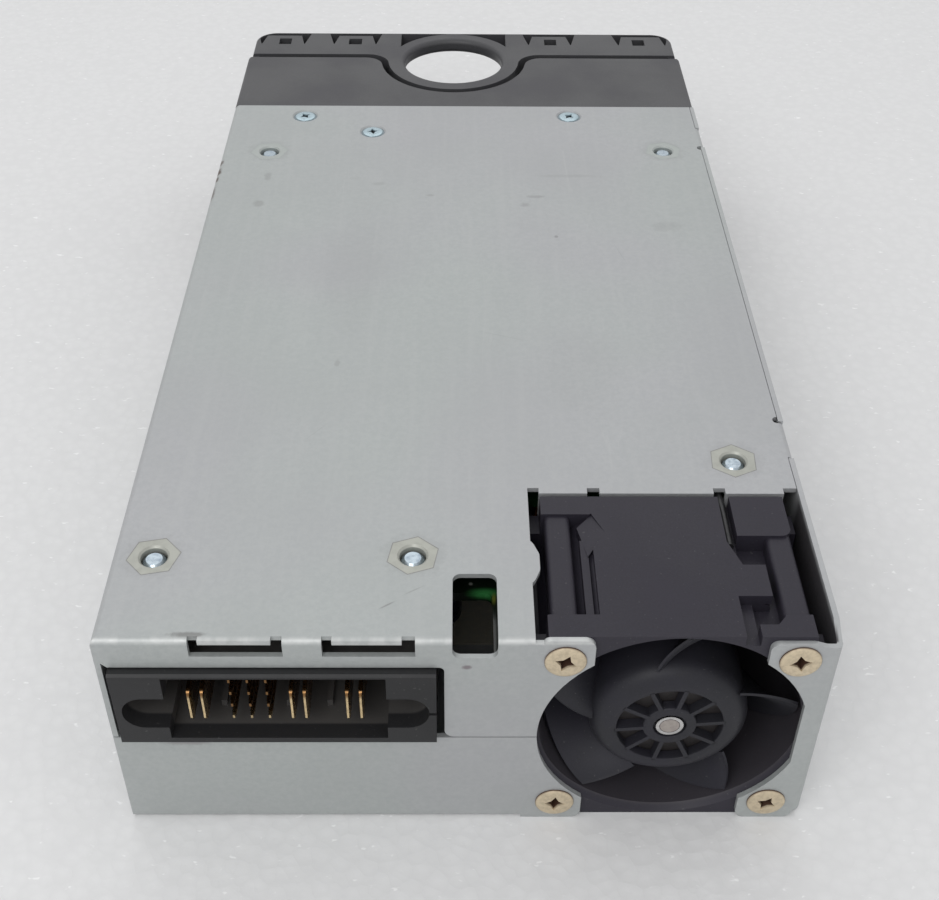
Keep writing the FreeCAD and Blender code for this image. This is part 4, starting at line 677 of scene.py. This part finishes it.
def finish_mouldings():
    """The black plastics."""
    paint(moulded("bezel_plastic", BEZEL_BLACK, sheen=0.50, rough=0.46, grain=0.35, relief=0.010,
                  tint=(0.046, 0.044, 0.053)), "bezel_housing", "front_frame")
    paint(moulded("latch_plastic", (0.030, 0.030, 0.033), sheen=0.50, rough=0.42, grain=0.35,
                  relief=0.008), "release_latch")
    paint(moulded("inlet_plastic", (0.020, 0.020, 0.021), sheen=0.50, rough=0.34, grain=0.30,
                  relief=0.005), "ac_inlet_body")
    middle = (fan_axis() - CORNER) / MM
    # Painted light inside the fan's opening, which lies in shade.
    bore = ((middle.x, 0.0, middle.z), (19.3, FAR, 19.3), BORE_PAINTED_LIGHT)
    paint(moulded("fan_plastic", FAN_BLACK, sheen=0.28, rough=0.46, grain=0.30, relief=0.006,
                  tint=(0.030, 0.027, 0.038), inside=bore), "fan_frame")
    # Painted light in the connector's socket, which lies in shade.
    socket = ((24.0, 9.8, 27.0), (FAR, 8.8, FAR), SOCKET_PAINTED_LIGHT)
    paint(moulded("connector_plastic", CONNECTOR_BLACK, sheen=0.28, rough=0.42, grain=0.25,
                  relief=0.006, inside=socket), "connector_housing")


def finish_metals():
    """Sheet, contacts, fasteners and the fan's steel."""
    paint(zinc_sheet(), "chassis_tray", "chassis_cover")
    paint(contact_gold("blade_gold", dim=27.6), "connector_power_blades")
    paint(contact_gold("pin_gold", dim=23.4), "connector_signal_pins")
    paint(plated("pin_nickel", (0.62, 0.61, 0.58), 0.22), "ac_inlet_pins")
    paint(plated("screw_blue_zinc", SCREW_BLUE, 0.26, metallic=0.9, tarnish=(0.30, 0.36, 0.42),
                 size=0.9), "board_screws")
    paint(clinched_zinc("standoff_zinc", STANDOFF), "board_standoffs")
    paint(plated("ground_steel", GROUND_STEEL, 0.30), "fan_bearings", "latch_pivot_pin")
    paint(shaft_end(), "fan_shaft")
    paint(plated("yoke_zinc", (0.05, 0.045, 0.045), 0.50, metallic=0.5), "fan_yoke")
    paint(plated("bush_nickel", (0.66, 0.65, 0.64), 0.26), "fan_hub_bush")


def finish_everything():
    """Every CAD node that no piece replaces gets its finish."""
    finish_mouldings()
    finish_metals()
    paint(solder_mask(), "main_board", "fan_circuit_board", "control_card")
    paint(clear_acrylic(), "status_light_pipes")
    for name, colour, rough, metallic, grain, nodes in INSIDE:
        paint(plain_finish(name, colour, rough, metallic, grain), *nodes)


# --- pieces that repeat or follow a rule --------------------------------------------------------
def pierced_grille(finish):
    """Steel plate pierced with staggered hexagonal holes."""
    low, high = (Vector(corner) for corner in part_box("exhaust_grille"))
    size = high - low
    hole, web, rim = 5.2 * MM, 1.0 * MM, 1.0 * MM
    pitch = hole + web
    p = Pattern("pierced_grille", plate_width=size.x, plate_height=size.z, plate_thickness=size.y,
                hole_across=hole, pitch=pitch, row_shift=pitch / 2 - 0.4 * MM, edge=rim,
                columns=4, rows=5)
    plate = p.add("GeometryNodeMeshCube", {
        "Size": p.vector(p["plate width"], p["plate thickness"], p["plate height"])})
    plate = p.moved(plate, p.vector(p.maths("MULTIPLY", p["plate width"], 0.5), 0.0,
                                    p.maths("MULTIPLY", p["plate height"], 0.5)))
    row_pitch = p.maths("MULTIPLY", p["pitch"], math.cos(math.radians(30)))
    total = p.maths("MULTIPLY", p["columns"], p["rows"])
    row = p.maths("FLOOR", p.maths("DIVIDE", p.index(), p["columns"]))
    column = p.maths("SUBTRACT", p.index(), p.maths("MULTIPLY", row, p["columns"]))
    start = p.maths("MULTIPLY_ADD", p["pitch"], 0.5, p["edge"])
    shifted = p.maths("MULTIPLY_ADD", p.maths("MODULO", row, 2.0), p["row shift"], start)
    x = p.maths("MULTIPLY_ADD", column, p["pitch"], shifted)
    spots = p.add("GeometryNodeSetPosition", {
        "Geometry": p.points(total),
        "Position": p.vector(x, 0.0, p.maths("MULTIPLY_ADD", row, row_pitch, start))})
    reach = p.maths("ADD", x, p.maths("MULTIPLY", p["hole across"], 0.5))
    outside = p.maths("GREATER_THAN", reach, p.maths("SUBTRACT", p["plate width"], p["edge"]))
    spots = p.add("GeometryNodeDeleteGeometry", {"Geometry": spots, "Selection": outside})
    corner = p.maths("MULTIPLY", p["hole across"], 0.5 / math.cos(math.radians(30)))
    punch = p.add("GeometryNodeMeshCylinder", {"Vertices": 6, "Radius": corner, "Depth": 4 * MM})
    punches = p.copies(punch, spots, (math.radians(90), math.radians(30), 0))
    punches = p.add("GeometryNodeRealizeInstances", {"Geometry": punches})
    pierced = p.add("GeometryNodeMeshBoolean", {"Mesh 1": plate, "Mesh 2": punches},
                    operation="DIFFERENCE")
    p.piece(finish, SUPPLY, "grille_steel", [pierced], "exhaust_grille",
            place=Vector((low.x, (low.y + high.y) / 2, low.z)), crease=30.0)


def wound_choke(name, node, finish, across, high, wire, turns, start, sweep, windings):
    """Round enamelled wire wound on a ring core: across and high are the turn's own half sizes."""
    p = Pattern(name, ring_radius=across[0] * MM, turn_half_width=across[1] * MM,
                turn_half_height=high * MM, wire_radius=wire * MM, turns=turns, windings=windings,
                start=math.radians(start), sweep=math.radians(sweep), squareness=0.55)
    line = p.add("GeometryNodeCurvePrimitiveLine", {"End": (1, 0, 0)})
    count = p.maths("MULTIPLY_ADD", p["turns"], 20.0, 1.0)
    line = p.add("GeometryNodeResampleCurve", {"Curve": line, "Count": count}, mode="COUNT")
    share = p.add("GeometryNodeSplineParameter")
    round_core = p.maths("MULTIPLY_ADD", share, p["sweep"], p["start"])
    round_wire = p.maths("MULTIPLY", share, p.maths("MULTIPLY", p["turns"], FULL_TURN))

    def squared(wave, half):
        side = p.maths("SIGN", wave)
        bent = p.maths("POWER", p.maths("ABSOLUTE", wave), p["squareness"])
        return p.maths("MULTIPLY", p.maths("MULTIPLY", side, bent), half)

    bulge = squared(p.maths("COSINE", round_wire), p["turn half width"])
    radius = p.maths("ADD", p["ring radius"], bulge)
    height = squared(p.maths("SINE", round_wire), p["turn half height"])
    place = p.vector(p.maths("MULTIPLY", radius, p.maths("COSINE", round_core)),
                     p.maths("MULTIPLY", radius, p.maths("SINE", round_core)), height)
    line = p.add("GeometryNodeSetPosition", {"Geometry": line, "Position": place})
    section = p.add("GeometryNodeCurvePrimitiveCircle", {
        "Resolution": 8, "Radius": p["wire radius"]})
    coil = p.add("GeometryNodeCurveToMesh", {
        "Curve": line, "Profile Curve": section, "Fill Caps": True})
    step = p.maths("DIVIDE", FULL_TURN, p["windings"])
    turned = p.vector(0.0, 0.0, p.maths("MULTIPLY", p.index(), step))
    coils = p.copies(coil, p.points(p["windings"]), turned)
    p.piece(finish, SUPPLY, "copper_winding", [coils], node, place=centre(node), crease=60.0)


def clinch_seams(finish):
    """The thin dark seam round each hexagonal standoff."""
    across, wide, deep = 6.7, 0.15, 0.10
    p = Pattern("clinch_seams", across=across * MM, seam_width=wide * MM, seam_depth=deep * MM)
    corner = p.maths("MULTIPLY", p["across"], 0.5 / math.cos(math.radians(30)))
    loop = p.add("GeometryNodeCurvePrimitiveCircle", {"Resolution": 6, "Radius": corner})
    section = p.add("GeometryNodeCurvePrimitiveQuadrilateral", {
        "Width": p["seam width"], "Height": p["seam depth"]})
    seam = p.add("GeometryNodeCurveToMesh", {"Curve": loop, "Profile Curve": section})
    spots = p.add("GeometryNodeSetPosition", {
        "Geometry": p.points(len(STANDOFFS)), "Position": p.listed([at(x, y, HEIGHT - deep * 0.35)
                                                                    for x, y, turn in STANDOFFS])})
    turns = p.listed([(0, 0, math.radians(turn)) for x, y, turn in STANDOFFS])
    p.piece(finish, SUPPLY, "sheet_steel", [p.copies(seam, spots, turns)], crease=20.0)


def moulded_impeller(finish):
    """Hub with ten windows between thin spokes, and five swept blades thinned at their edges."""
    p = Pattern("moulded_impeller", hub_radius=11.6 * MM, tip_radius=18.5 * MM, hub_rear=1.5 * MM,
                hub_front=22.5 * MM, hub_wall=1.1 * MM, face_thickness=1.6 * MM,
                hub_rounding=3.0 * MM, window_ring=7.7 * MM, boss_radius=3.9 * MM,
                bush_radius=2.4 * MM, bush_fit=2.0 * MM,
                spokes=10, spoke_width=0.65 * MM, spoke_start=math.radians(78),
                blades=5, blade_start=math.radians(87), rake=math.radians(17),
                turn_root=math.radians(50), turn_tip=math.radians(62),
                lead_root=2.4 * MM, lead_tip=1.9 * MM, trail_root=19.5 * MM, trail_tip=17.5 * MM,
                blade_thickness=0.85 * MM, edge_thickness=0.25 * MM)
    rear, front = p["hub rear"], p["hub front"]
    inside = p.maths("SUBTRACT", p["hub radius"], p["hub wall"])
    face = p.maths("ADD", rear, p["face thickness"])
    shell = p.outline([p.vector(p["window ring"], rear), p.vector(p["hub radius"], rear),
                       p.vector(p["hub radius"], front), p.vector(inside, front),
                       p.vector(inside, face), p.vector(p["window ring"], face)],
                      (0.2 * MM, p["hub rounding"], 0.3 * MM, 0.3 * MM, 0.4 * MM, 0.1 * MM))
    step = p.maths("ADD", rear, 0.8 * MM)
    boss = p.outline([p.vector(p["bush radius"], rear), p.vector(p["boss radius"], rear),
                      p.vector(p["boss radius"], face), p.vector(p["bush fit"], face),
                      p.vector(p["bush fit"], step), p.vector(p["bush radius"], step)],
                     (0.12 * MM, 0.3 * MM, 0.1 * MM, 0.1 * MM, 0.05 * MM, 0.05 * MM))
    long = p.maths("ADD", p.maths("SUBTRACT", p["window ring"], p["boss radius"]), 0.6 * MM)
    bar = p.add("GeometryNodeMeshCube", {
        "Size": p.vector(long, p["face thickness"], p["spoke width"])})
    middle = p.maths("MULTIPLY", p.maths("ADD", p["window ring"], p["boss radius"]), 0.5)
    bar = p.moved(bar, p.vector(middle, p.maths("MULTIPLY_ADD", p["face thickness"], 0.5, rear)))
    angle = p.maths("DIVIDE", FULL_TURN, p["spokes"])
    angle = p.maths("MULTIPLY_ADD", p.index(), angle, p["spoke start"])
    spokes = p.copies(bar, p.points(p["spokes"]), p.vector(0.0, p.maths("MULTIPLY", angle, -1.0)))
    parts = [p.revolved(shell), p.revolved(boss), spokes, swept_blades(p)]
    p.piece(finish, ROTOR, "rotor_plastic", parts, "fan_impeller", place=fan_axis(), crease=38.0)


def leaf_spring(finish):
    """The latch's leaf spring, a bent strip between its post and the latch's arm; here it does not
    flex.
    """
    low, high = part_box("latch_spring")
    p = Pattern("flexing_leaf", strip_thickness=0.4 * MM, strip_width=high[2] - low[2],
                bend_radius=1.0 * MM, step=0.6 * MM)
    middle = (low[2] + high[2]) / 2
    corners = [Vector((*at(x, y, 0.0).xy, middle)) for x, y in
               ((91.8, 157.5), (91.8, 164.05), (95.28, 176.98), (93.72, 179.9))]
    line = p.add("GeometryNodeSetPosition", {
        "Geometry": p.points(len(corners)), "Position": p.listed(corners)})
    curve = p.add("GeometryNodeMeshToCurve", {"Mesh": line})
    curve = p.add("GeometryNodeFilletCurve", {
        "Curve": curve, "Radius": p["bend radius"], "Count": 6, "Limit Radius": True}, mode="POLY")
    curve = p.add("GeometryNodeResampleCurve", {"Curve": curve, "Length": p["step"]}, mode="LENGTH")
    section = p.add("GeometryNodeCurvePrimitiveQuadrilateral", {
        "Width": p["strip thickness"], "Height": p["strip width"]})
    strip = p.add("GeometryNodeCurveToMesh", {
        "Curve": curve, "Profile Curve": section, "Fill Caps": True})
    p.piece(finish, SUPPLY, "spring_steel", [strip], "latch_spring", crease=30.0,
            flexes=(LATCH, corners[1], corners[2]))


def recessed_screws(name, node, slot, finish, crown, reach, waist, length, places):
    """Screws with a turned head, a tapering star recess and a shank.

    crown lists the head's height and radius from its middle outward, in millimetres, the height
    counted into the sheet. places lists where each screw meets the sheet, and how it is turned.
    """
    p = Pattern(name, shank_radius=1.45 * MM, shank_length=length * MM, recess_reach=reach * MM,
                recess_waist=waist * MM, recess_depth=1.3 * MM, tip_taper=0.7)
    shank, end = p["shank radius"], p["shank length"]
    stations = [(y * MM, r * MM) for y, r in crown]
    stations += [(stations[-1][0] + 0.01 * MM, shank), (p.maths("SUBTRACT", end, 0.5 * MM), shank),
                 (end, p.maths("MULTIPLY", shank, p["tip taper"]))]
    rim = p.add("GeometryNodeCurvePrimitiveCircle", {"Resolution": 40, "Radius": 1.0})
    body = p.turned(stations, rim)
    narrow = p.maths("DIVIDE", p["recess waist"], p["recess reach"])
    star = p.add("GeometryNodeCurveStar", {
        "Points": 4, "Inner Radius": narrow, "Outer Radius": 1.0})
    recess = p.turned([(stations[0][0] - 0.2 * MM, p["recess reach"]),
                       (stations[0][0] + 0.4 * MM, p.maths("MULTIPLY", p["recess reach"], 0.82)),
                       (p["recess depth"], p.maths("MULTIPLY", p["recess reach"], 0.38))], star)
    cut = p.add("GeometryNodeMeshBoolean", {"Mesh 1": body, "Mesh 2": recess},
                operation="DIFFERENCE", solver="EXACT")
    spots = p.add("GeometryNodeSetPosition", {
        "Geometry": p.points(len(places)), "Position": p.listed([place for place, turn in places])})
    turns = p.listed([tuple(math.radians(angle) for angle in turn) for place, turn in places])
    p.piece(finish, SUPPLY, slot, [p.copies(cut, spots, turns)], node, crease=32.0)


# Heads of the screws: height into the sheet and radius, from the middle outward.
LOW_CROWN = ((-0.50, 1.60), (-0.48, 2.15), (-0.43, 2.55), (-0.33, 2.78), (-0.20, 2.90), (0.0, 2.90))
FLUSH_CROWN = ((0.0, 1.45), (0.03, 1.85), (0.11, 2.08), (0.28, 2.16), (0.32, 2.76), (0.45, 2.45),
               (1.32, 1.46))
# Where the countersunk screws stand: X, Y and turn on the top, Y and Z on the left wall.
TOP_SCREWS = ((15.9, 152.2, 35.0), (31.0, 145.1, 10.0), (73.6, 152.5, 55.0))
WALL_SCREWS = ((30.0, 6.0), (128.0, 6.0))


def every_screw():
    """Four low headed screws on the fan, and five countersunk ones on the top and the left."""
    corner = FAN_HOLE_PITCH / 2 * MM
    turns = iter((3.0, 20.0, 25.0, -10.0))
    fan = [(fan_axis() + Vector((x * corner, 0.0, z * corner)), (0.0, next(turns), 0.0))
           for x in (-1, 1) for z in (-1, 1)]
    recessed_screws("fan_low_heads", "fan_screws", "yellow_zinc", yellow_zinc(), LOW_CROWN,
                    reach=1.70, waist=0.86, length=9.0, places=fan)
    case = [(at(x, y, HEIGHT), (-90.0, 0.0, turn)) for x, y, turn in TOP_SCREWS]
    case += [(at(0.0, y, z), (0.0, 20.0, -90.0)) for y, z in WALL_SCREWS]
    recessed_screws("case_flush_heads", "chassis_screws", "blue_zinc", flush_zinc(), FLUSH_CROWN,
                    reach=1.30, waist=0.62, length=4.2, places=case)


def swept_blades(p):
    """The blades: a grid from root to tip, bent to a blade's surface, thickened and copied."""
    grid = p.add("GeometryNodeMeshGrid", {
        "Size X": 1.0, "Size Y": 1.0, "Vertices X": 41, "Vertices Y": 15})
    flat = p.parts_of(p.add("GeometryNodeInputPosition"))
    along = p.maths("ADD", flat["X"], 0.5)
    share = p.maths("ADD", flat["Y"], 0.5)
    radius = p.between(p.maths("SUBTRACT", p["hub radius"], 0.3 * MM), p["tip radius"], share)
    true_share = p.maths("DIVIDE", p.maths("SUBTRACT", radius, p["hub radius"]),
                         p.maths("SUBTRACT", p["tip radius"], p["hub radius"]))
    covered = p.maths("MULTIPLY", p.between(p["turn root"], p["turn tip"], true_share), along)
    inward = p.maths("SUBTRACT", 1.0, true_share)
    lead = p.maths("MULTIPLY_ADD", p["rake"], inward, p["blade start"])
    turn = p.maths("SUBTRACT", lead, covered)
    squared = p.maths("MULTIPLY", along, along)
    bent = p.maths("MULTIPLY_ADD", squared, 0.45, p.maths("MULTIPLY", along, 0.55))
    rear = p.between(p["lead root"], p["lead tip"], true_share)
    front = p.between(p["trail root"], p["trail tip"], true_share)
    place = p.vector(p.maths("MULTIPLY", radius, p.maths("COSINE", turn)),
                     p.between(rear, front, bent),
                     p.maths("MULTIPLY", radius, p.maths("SINE", turn)))
    middle = p.maths("MULTIPLY", along, p.maths("SUBTRACT", 1.0, along))
    middle = p.maths("MULTIPLY", middle, 4.0)
    full = p.maths("POWER", p.maths("MAXIMUM", middle, 0.0), 0.45)
    thick = p.add("GeometryNodeStoreNamedAttribute", {
        "Geometry": grid, "Name": "thickness",
        "Value": p.between(p["edge thickness"], p["blade thickness"], full)}, data_type="FLOAT")
    sheet = p.add("GeometryNodeSetPosition", {"Geometry": thick, "Position": place})
    thickness = p.add("GeometryNodeInputNamedAttribute", {"Name": "thickness"}, data_type="FLOAT")
    outward = p.add("GeometryNodeInputNormal")
    below = p.maths("MULTIPLY", thickness, -0.5)
    half = p.add("ShaderNodeVectorMath", {0: outward, "Scale": below}, operation="SCALE")
    low = p.add("GeometryNodeSetPosition", {"Geometry": sheet, "Offset": half})
    high = p.add("GeometryNodeExtrudeMesh", {
        "Mesh": low, "Offset Scale": thickness, "Individual": False})
    under = p.add("GeometryNodeFlipFaces", {"Mesh": low})
    both = p.tree.nodes.new("GeometryNodeJoinGeometry")
    p.tree.links.new(under, both.inputs[0])
    p.tree.links.new(high, both.inputs[0])
    vane = p.add("GeometryNodeMergeByDistance", {"Geometry": both.outputs[0], "Distance": 1e-6})
    step = p.maths("DIVIDE", FULL_TURN, p["blades"])
    turned = p.vector(0.0, p.maths("MULTIPLY", p.index(), step))
    return p.copies(vane, p.points(p["blades"]), turned)


def make_pieces():
    """The pieces that stand in for CAD nodes, and the seams round the standoffs."""
    pierced_grille(plain_finish("grille_coat", (0.020, 0.020, 0.022), 0.42, grain=0.4, change=0.2))
    copper = plain_finish("copper_wire", COPPER, 0.30, metallic=0.9, grain=0.4)
    wound_choke("power_choke_winding", "choke_winding", copper, across=(8.8, 3.6), high=6.75,
                wire=0.62, turns=16, start=0.0, sweep=352.0, windings=1)
    wound_choke("mains_choke_winding", "emi_choke_winding", copper, across=(7.3, 2.95), high=5.65,
                wire=0.52, turns=6, start=-50.0, sweep=100.0, windings=2)
    clinch_seams(clinched_zinc("seam", SEAM))
    every_screw()
    leaf_spring(plated("spring_strip", GROUND_STEEL, 0.30))
    moulded_impeller(moulded("rotor_plastic", ROTOR_BLACK, sheen=0.24, rough=0.46, grain=0.30,
                             relief=0.004, tint=(0.026, 0.024, 0.036)))


# --- stage, light and camera --------------------------------------------------------------------
def floor():
    """A pale sheet of packing foam with painted glints, wide enough for every view."""
    f = Finish("pale_foam", roughness=0.75)
    cells = f.node("ShaderNodeTexVoronoi", feature="F1")
    f.join(f.mapped(), cells.inputs["Vector"])
    cells.inputs["Scale"].default_value = 1.0 / (2.2 * MM)
    bubbles = cells.outputs["Distance"]
    tone = f.mix(f.ramp(bubbles, 0.2, 0.8), FOAM, shaded(FOAM, 0.97))
    # Painted glints: sparse bright specks on the foam.
    glint = f.ramp(f.noise(2.4, 2.0, 0.6, scale=(1, 1.8, 1)), 0.66, 0.74, 0.0, 0.8)
    f.set("Base Color", f.mix(glint, tone, FOAM_PAINTED_GLINT))
    f.set("Normal", f.bump(bubbles, 0.25, 0.35, f.bump(f.noise(6.0, 3.0, 0.6), 0.3, 0.3)))
    reach = 3.0
    mesh = bpy.data.meshes.new("floor")
    low = CORNER.z - 0.02 * MM
    corners = [(x * reach, y * reach, low) for x, y in ((-1, -1), (1, -1), (1, 1), (-1, 1))]
    mesh.from_pydata(corners, [], [(0, 1, 2, 3)])
    mesh.materials.append(f.material)
    made = bpy.data.objects.new("floor", mesh)
    bpy.context.scene.collection.objects.link(made)


def sky(strength):
    world = bpy.data.worlds.new("studio")
    world.use_nodes = True
    bpy.context.scene.world = world
    background = world.node_tree.nodes["Background"]
    background.inputs["Color"].default_value = (0.985, 0.99, 1.0, 1.0)
    background.inputs["Strength"].default_value = strength


def lamp(name, place, target, size, watts):
    data = bpy.data.lights.new(name, "AREA")
    data.shape = "RECTANGLE"
    data.size, data.size_y = size
    data.energy = watts
    made = bpy.data.objects.new(name, data)
    made.location = place
    made.rotation_mode = "QUATERNION"
    made.rotation_quaternion = (Vector(target) - Vector(place)).to_track_quat("-Z", "Y")
    bpy.context.scene.collection.objects.link(made)


def camera(place, target, roll, lens):
    data = bpy.data.cameras.new("camera")
    data.lens = lens
    data.sensor_width = 36.0
    data.clip_start, data.clip_end = 0.01, 20.0
    made = bpy.data.objects.new("camera", data)
    made.location = place
    made.rotation_mode = "QUATERNION"
    facing = (Vector(target) - Vector(place)).to_track_quat("-Z", "Y")
    made.rotation_quaternion = facing @ Quaternion((0, 0, 1), math.radians(roll))
    bpy.context.scene.collection.objects.link(made)
    bpy.context.scene.camera = made


def studio():
    bpy.context.scene.view_settings.view_transform = "Standard"
    floor()
    sky(0.80)
    lamp("window", (-0.15, 0.75, 0.95), target=(0, 0, 0), size=(1.1, 0.8), watts=1.6)
    lamp("key", (-0.24, -0.62, 0.62), target=(0, -0.02, 0.02), size=(0.50, 0.40), watts=2.2)
    camera(at(49.1, -122.0, 177.6), target=at(51.6, 75.9, 9.0), roll=0.59, lens=52.16)


finish_everything()
make_pieces()
studio()
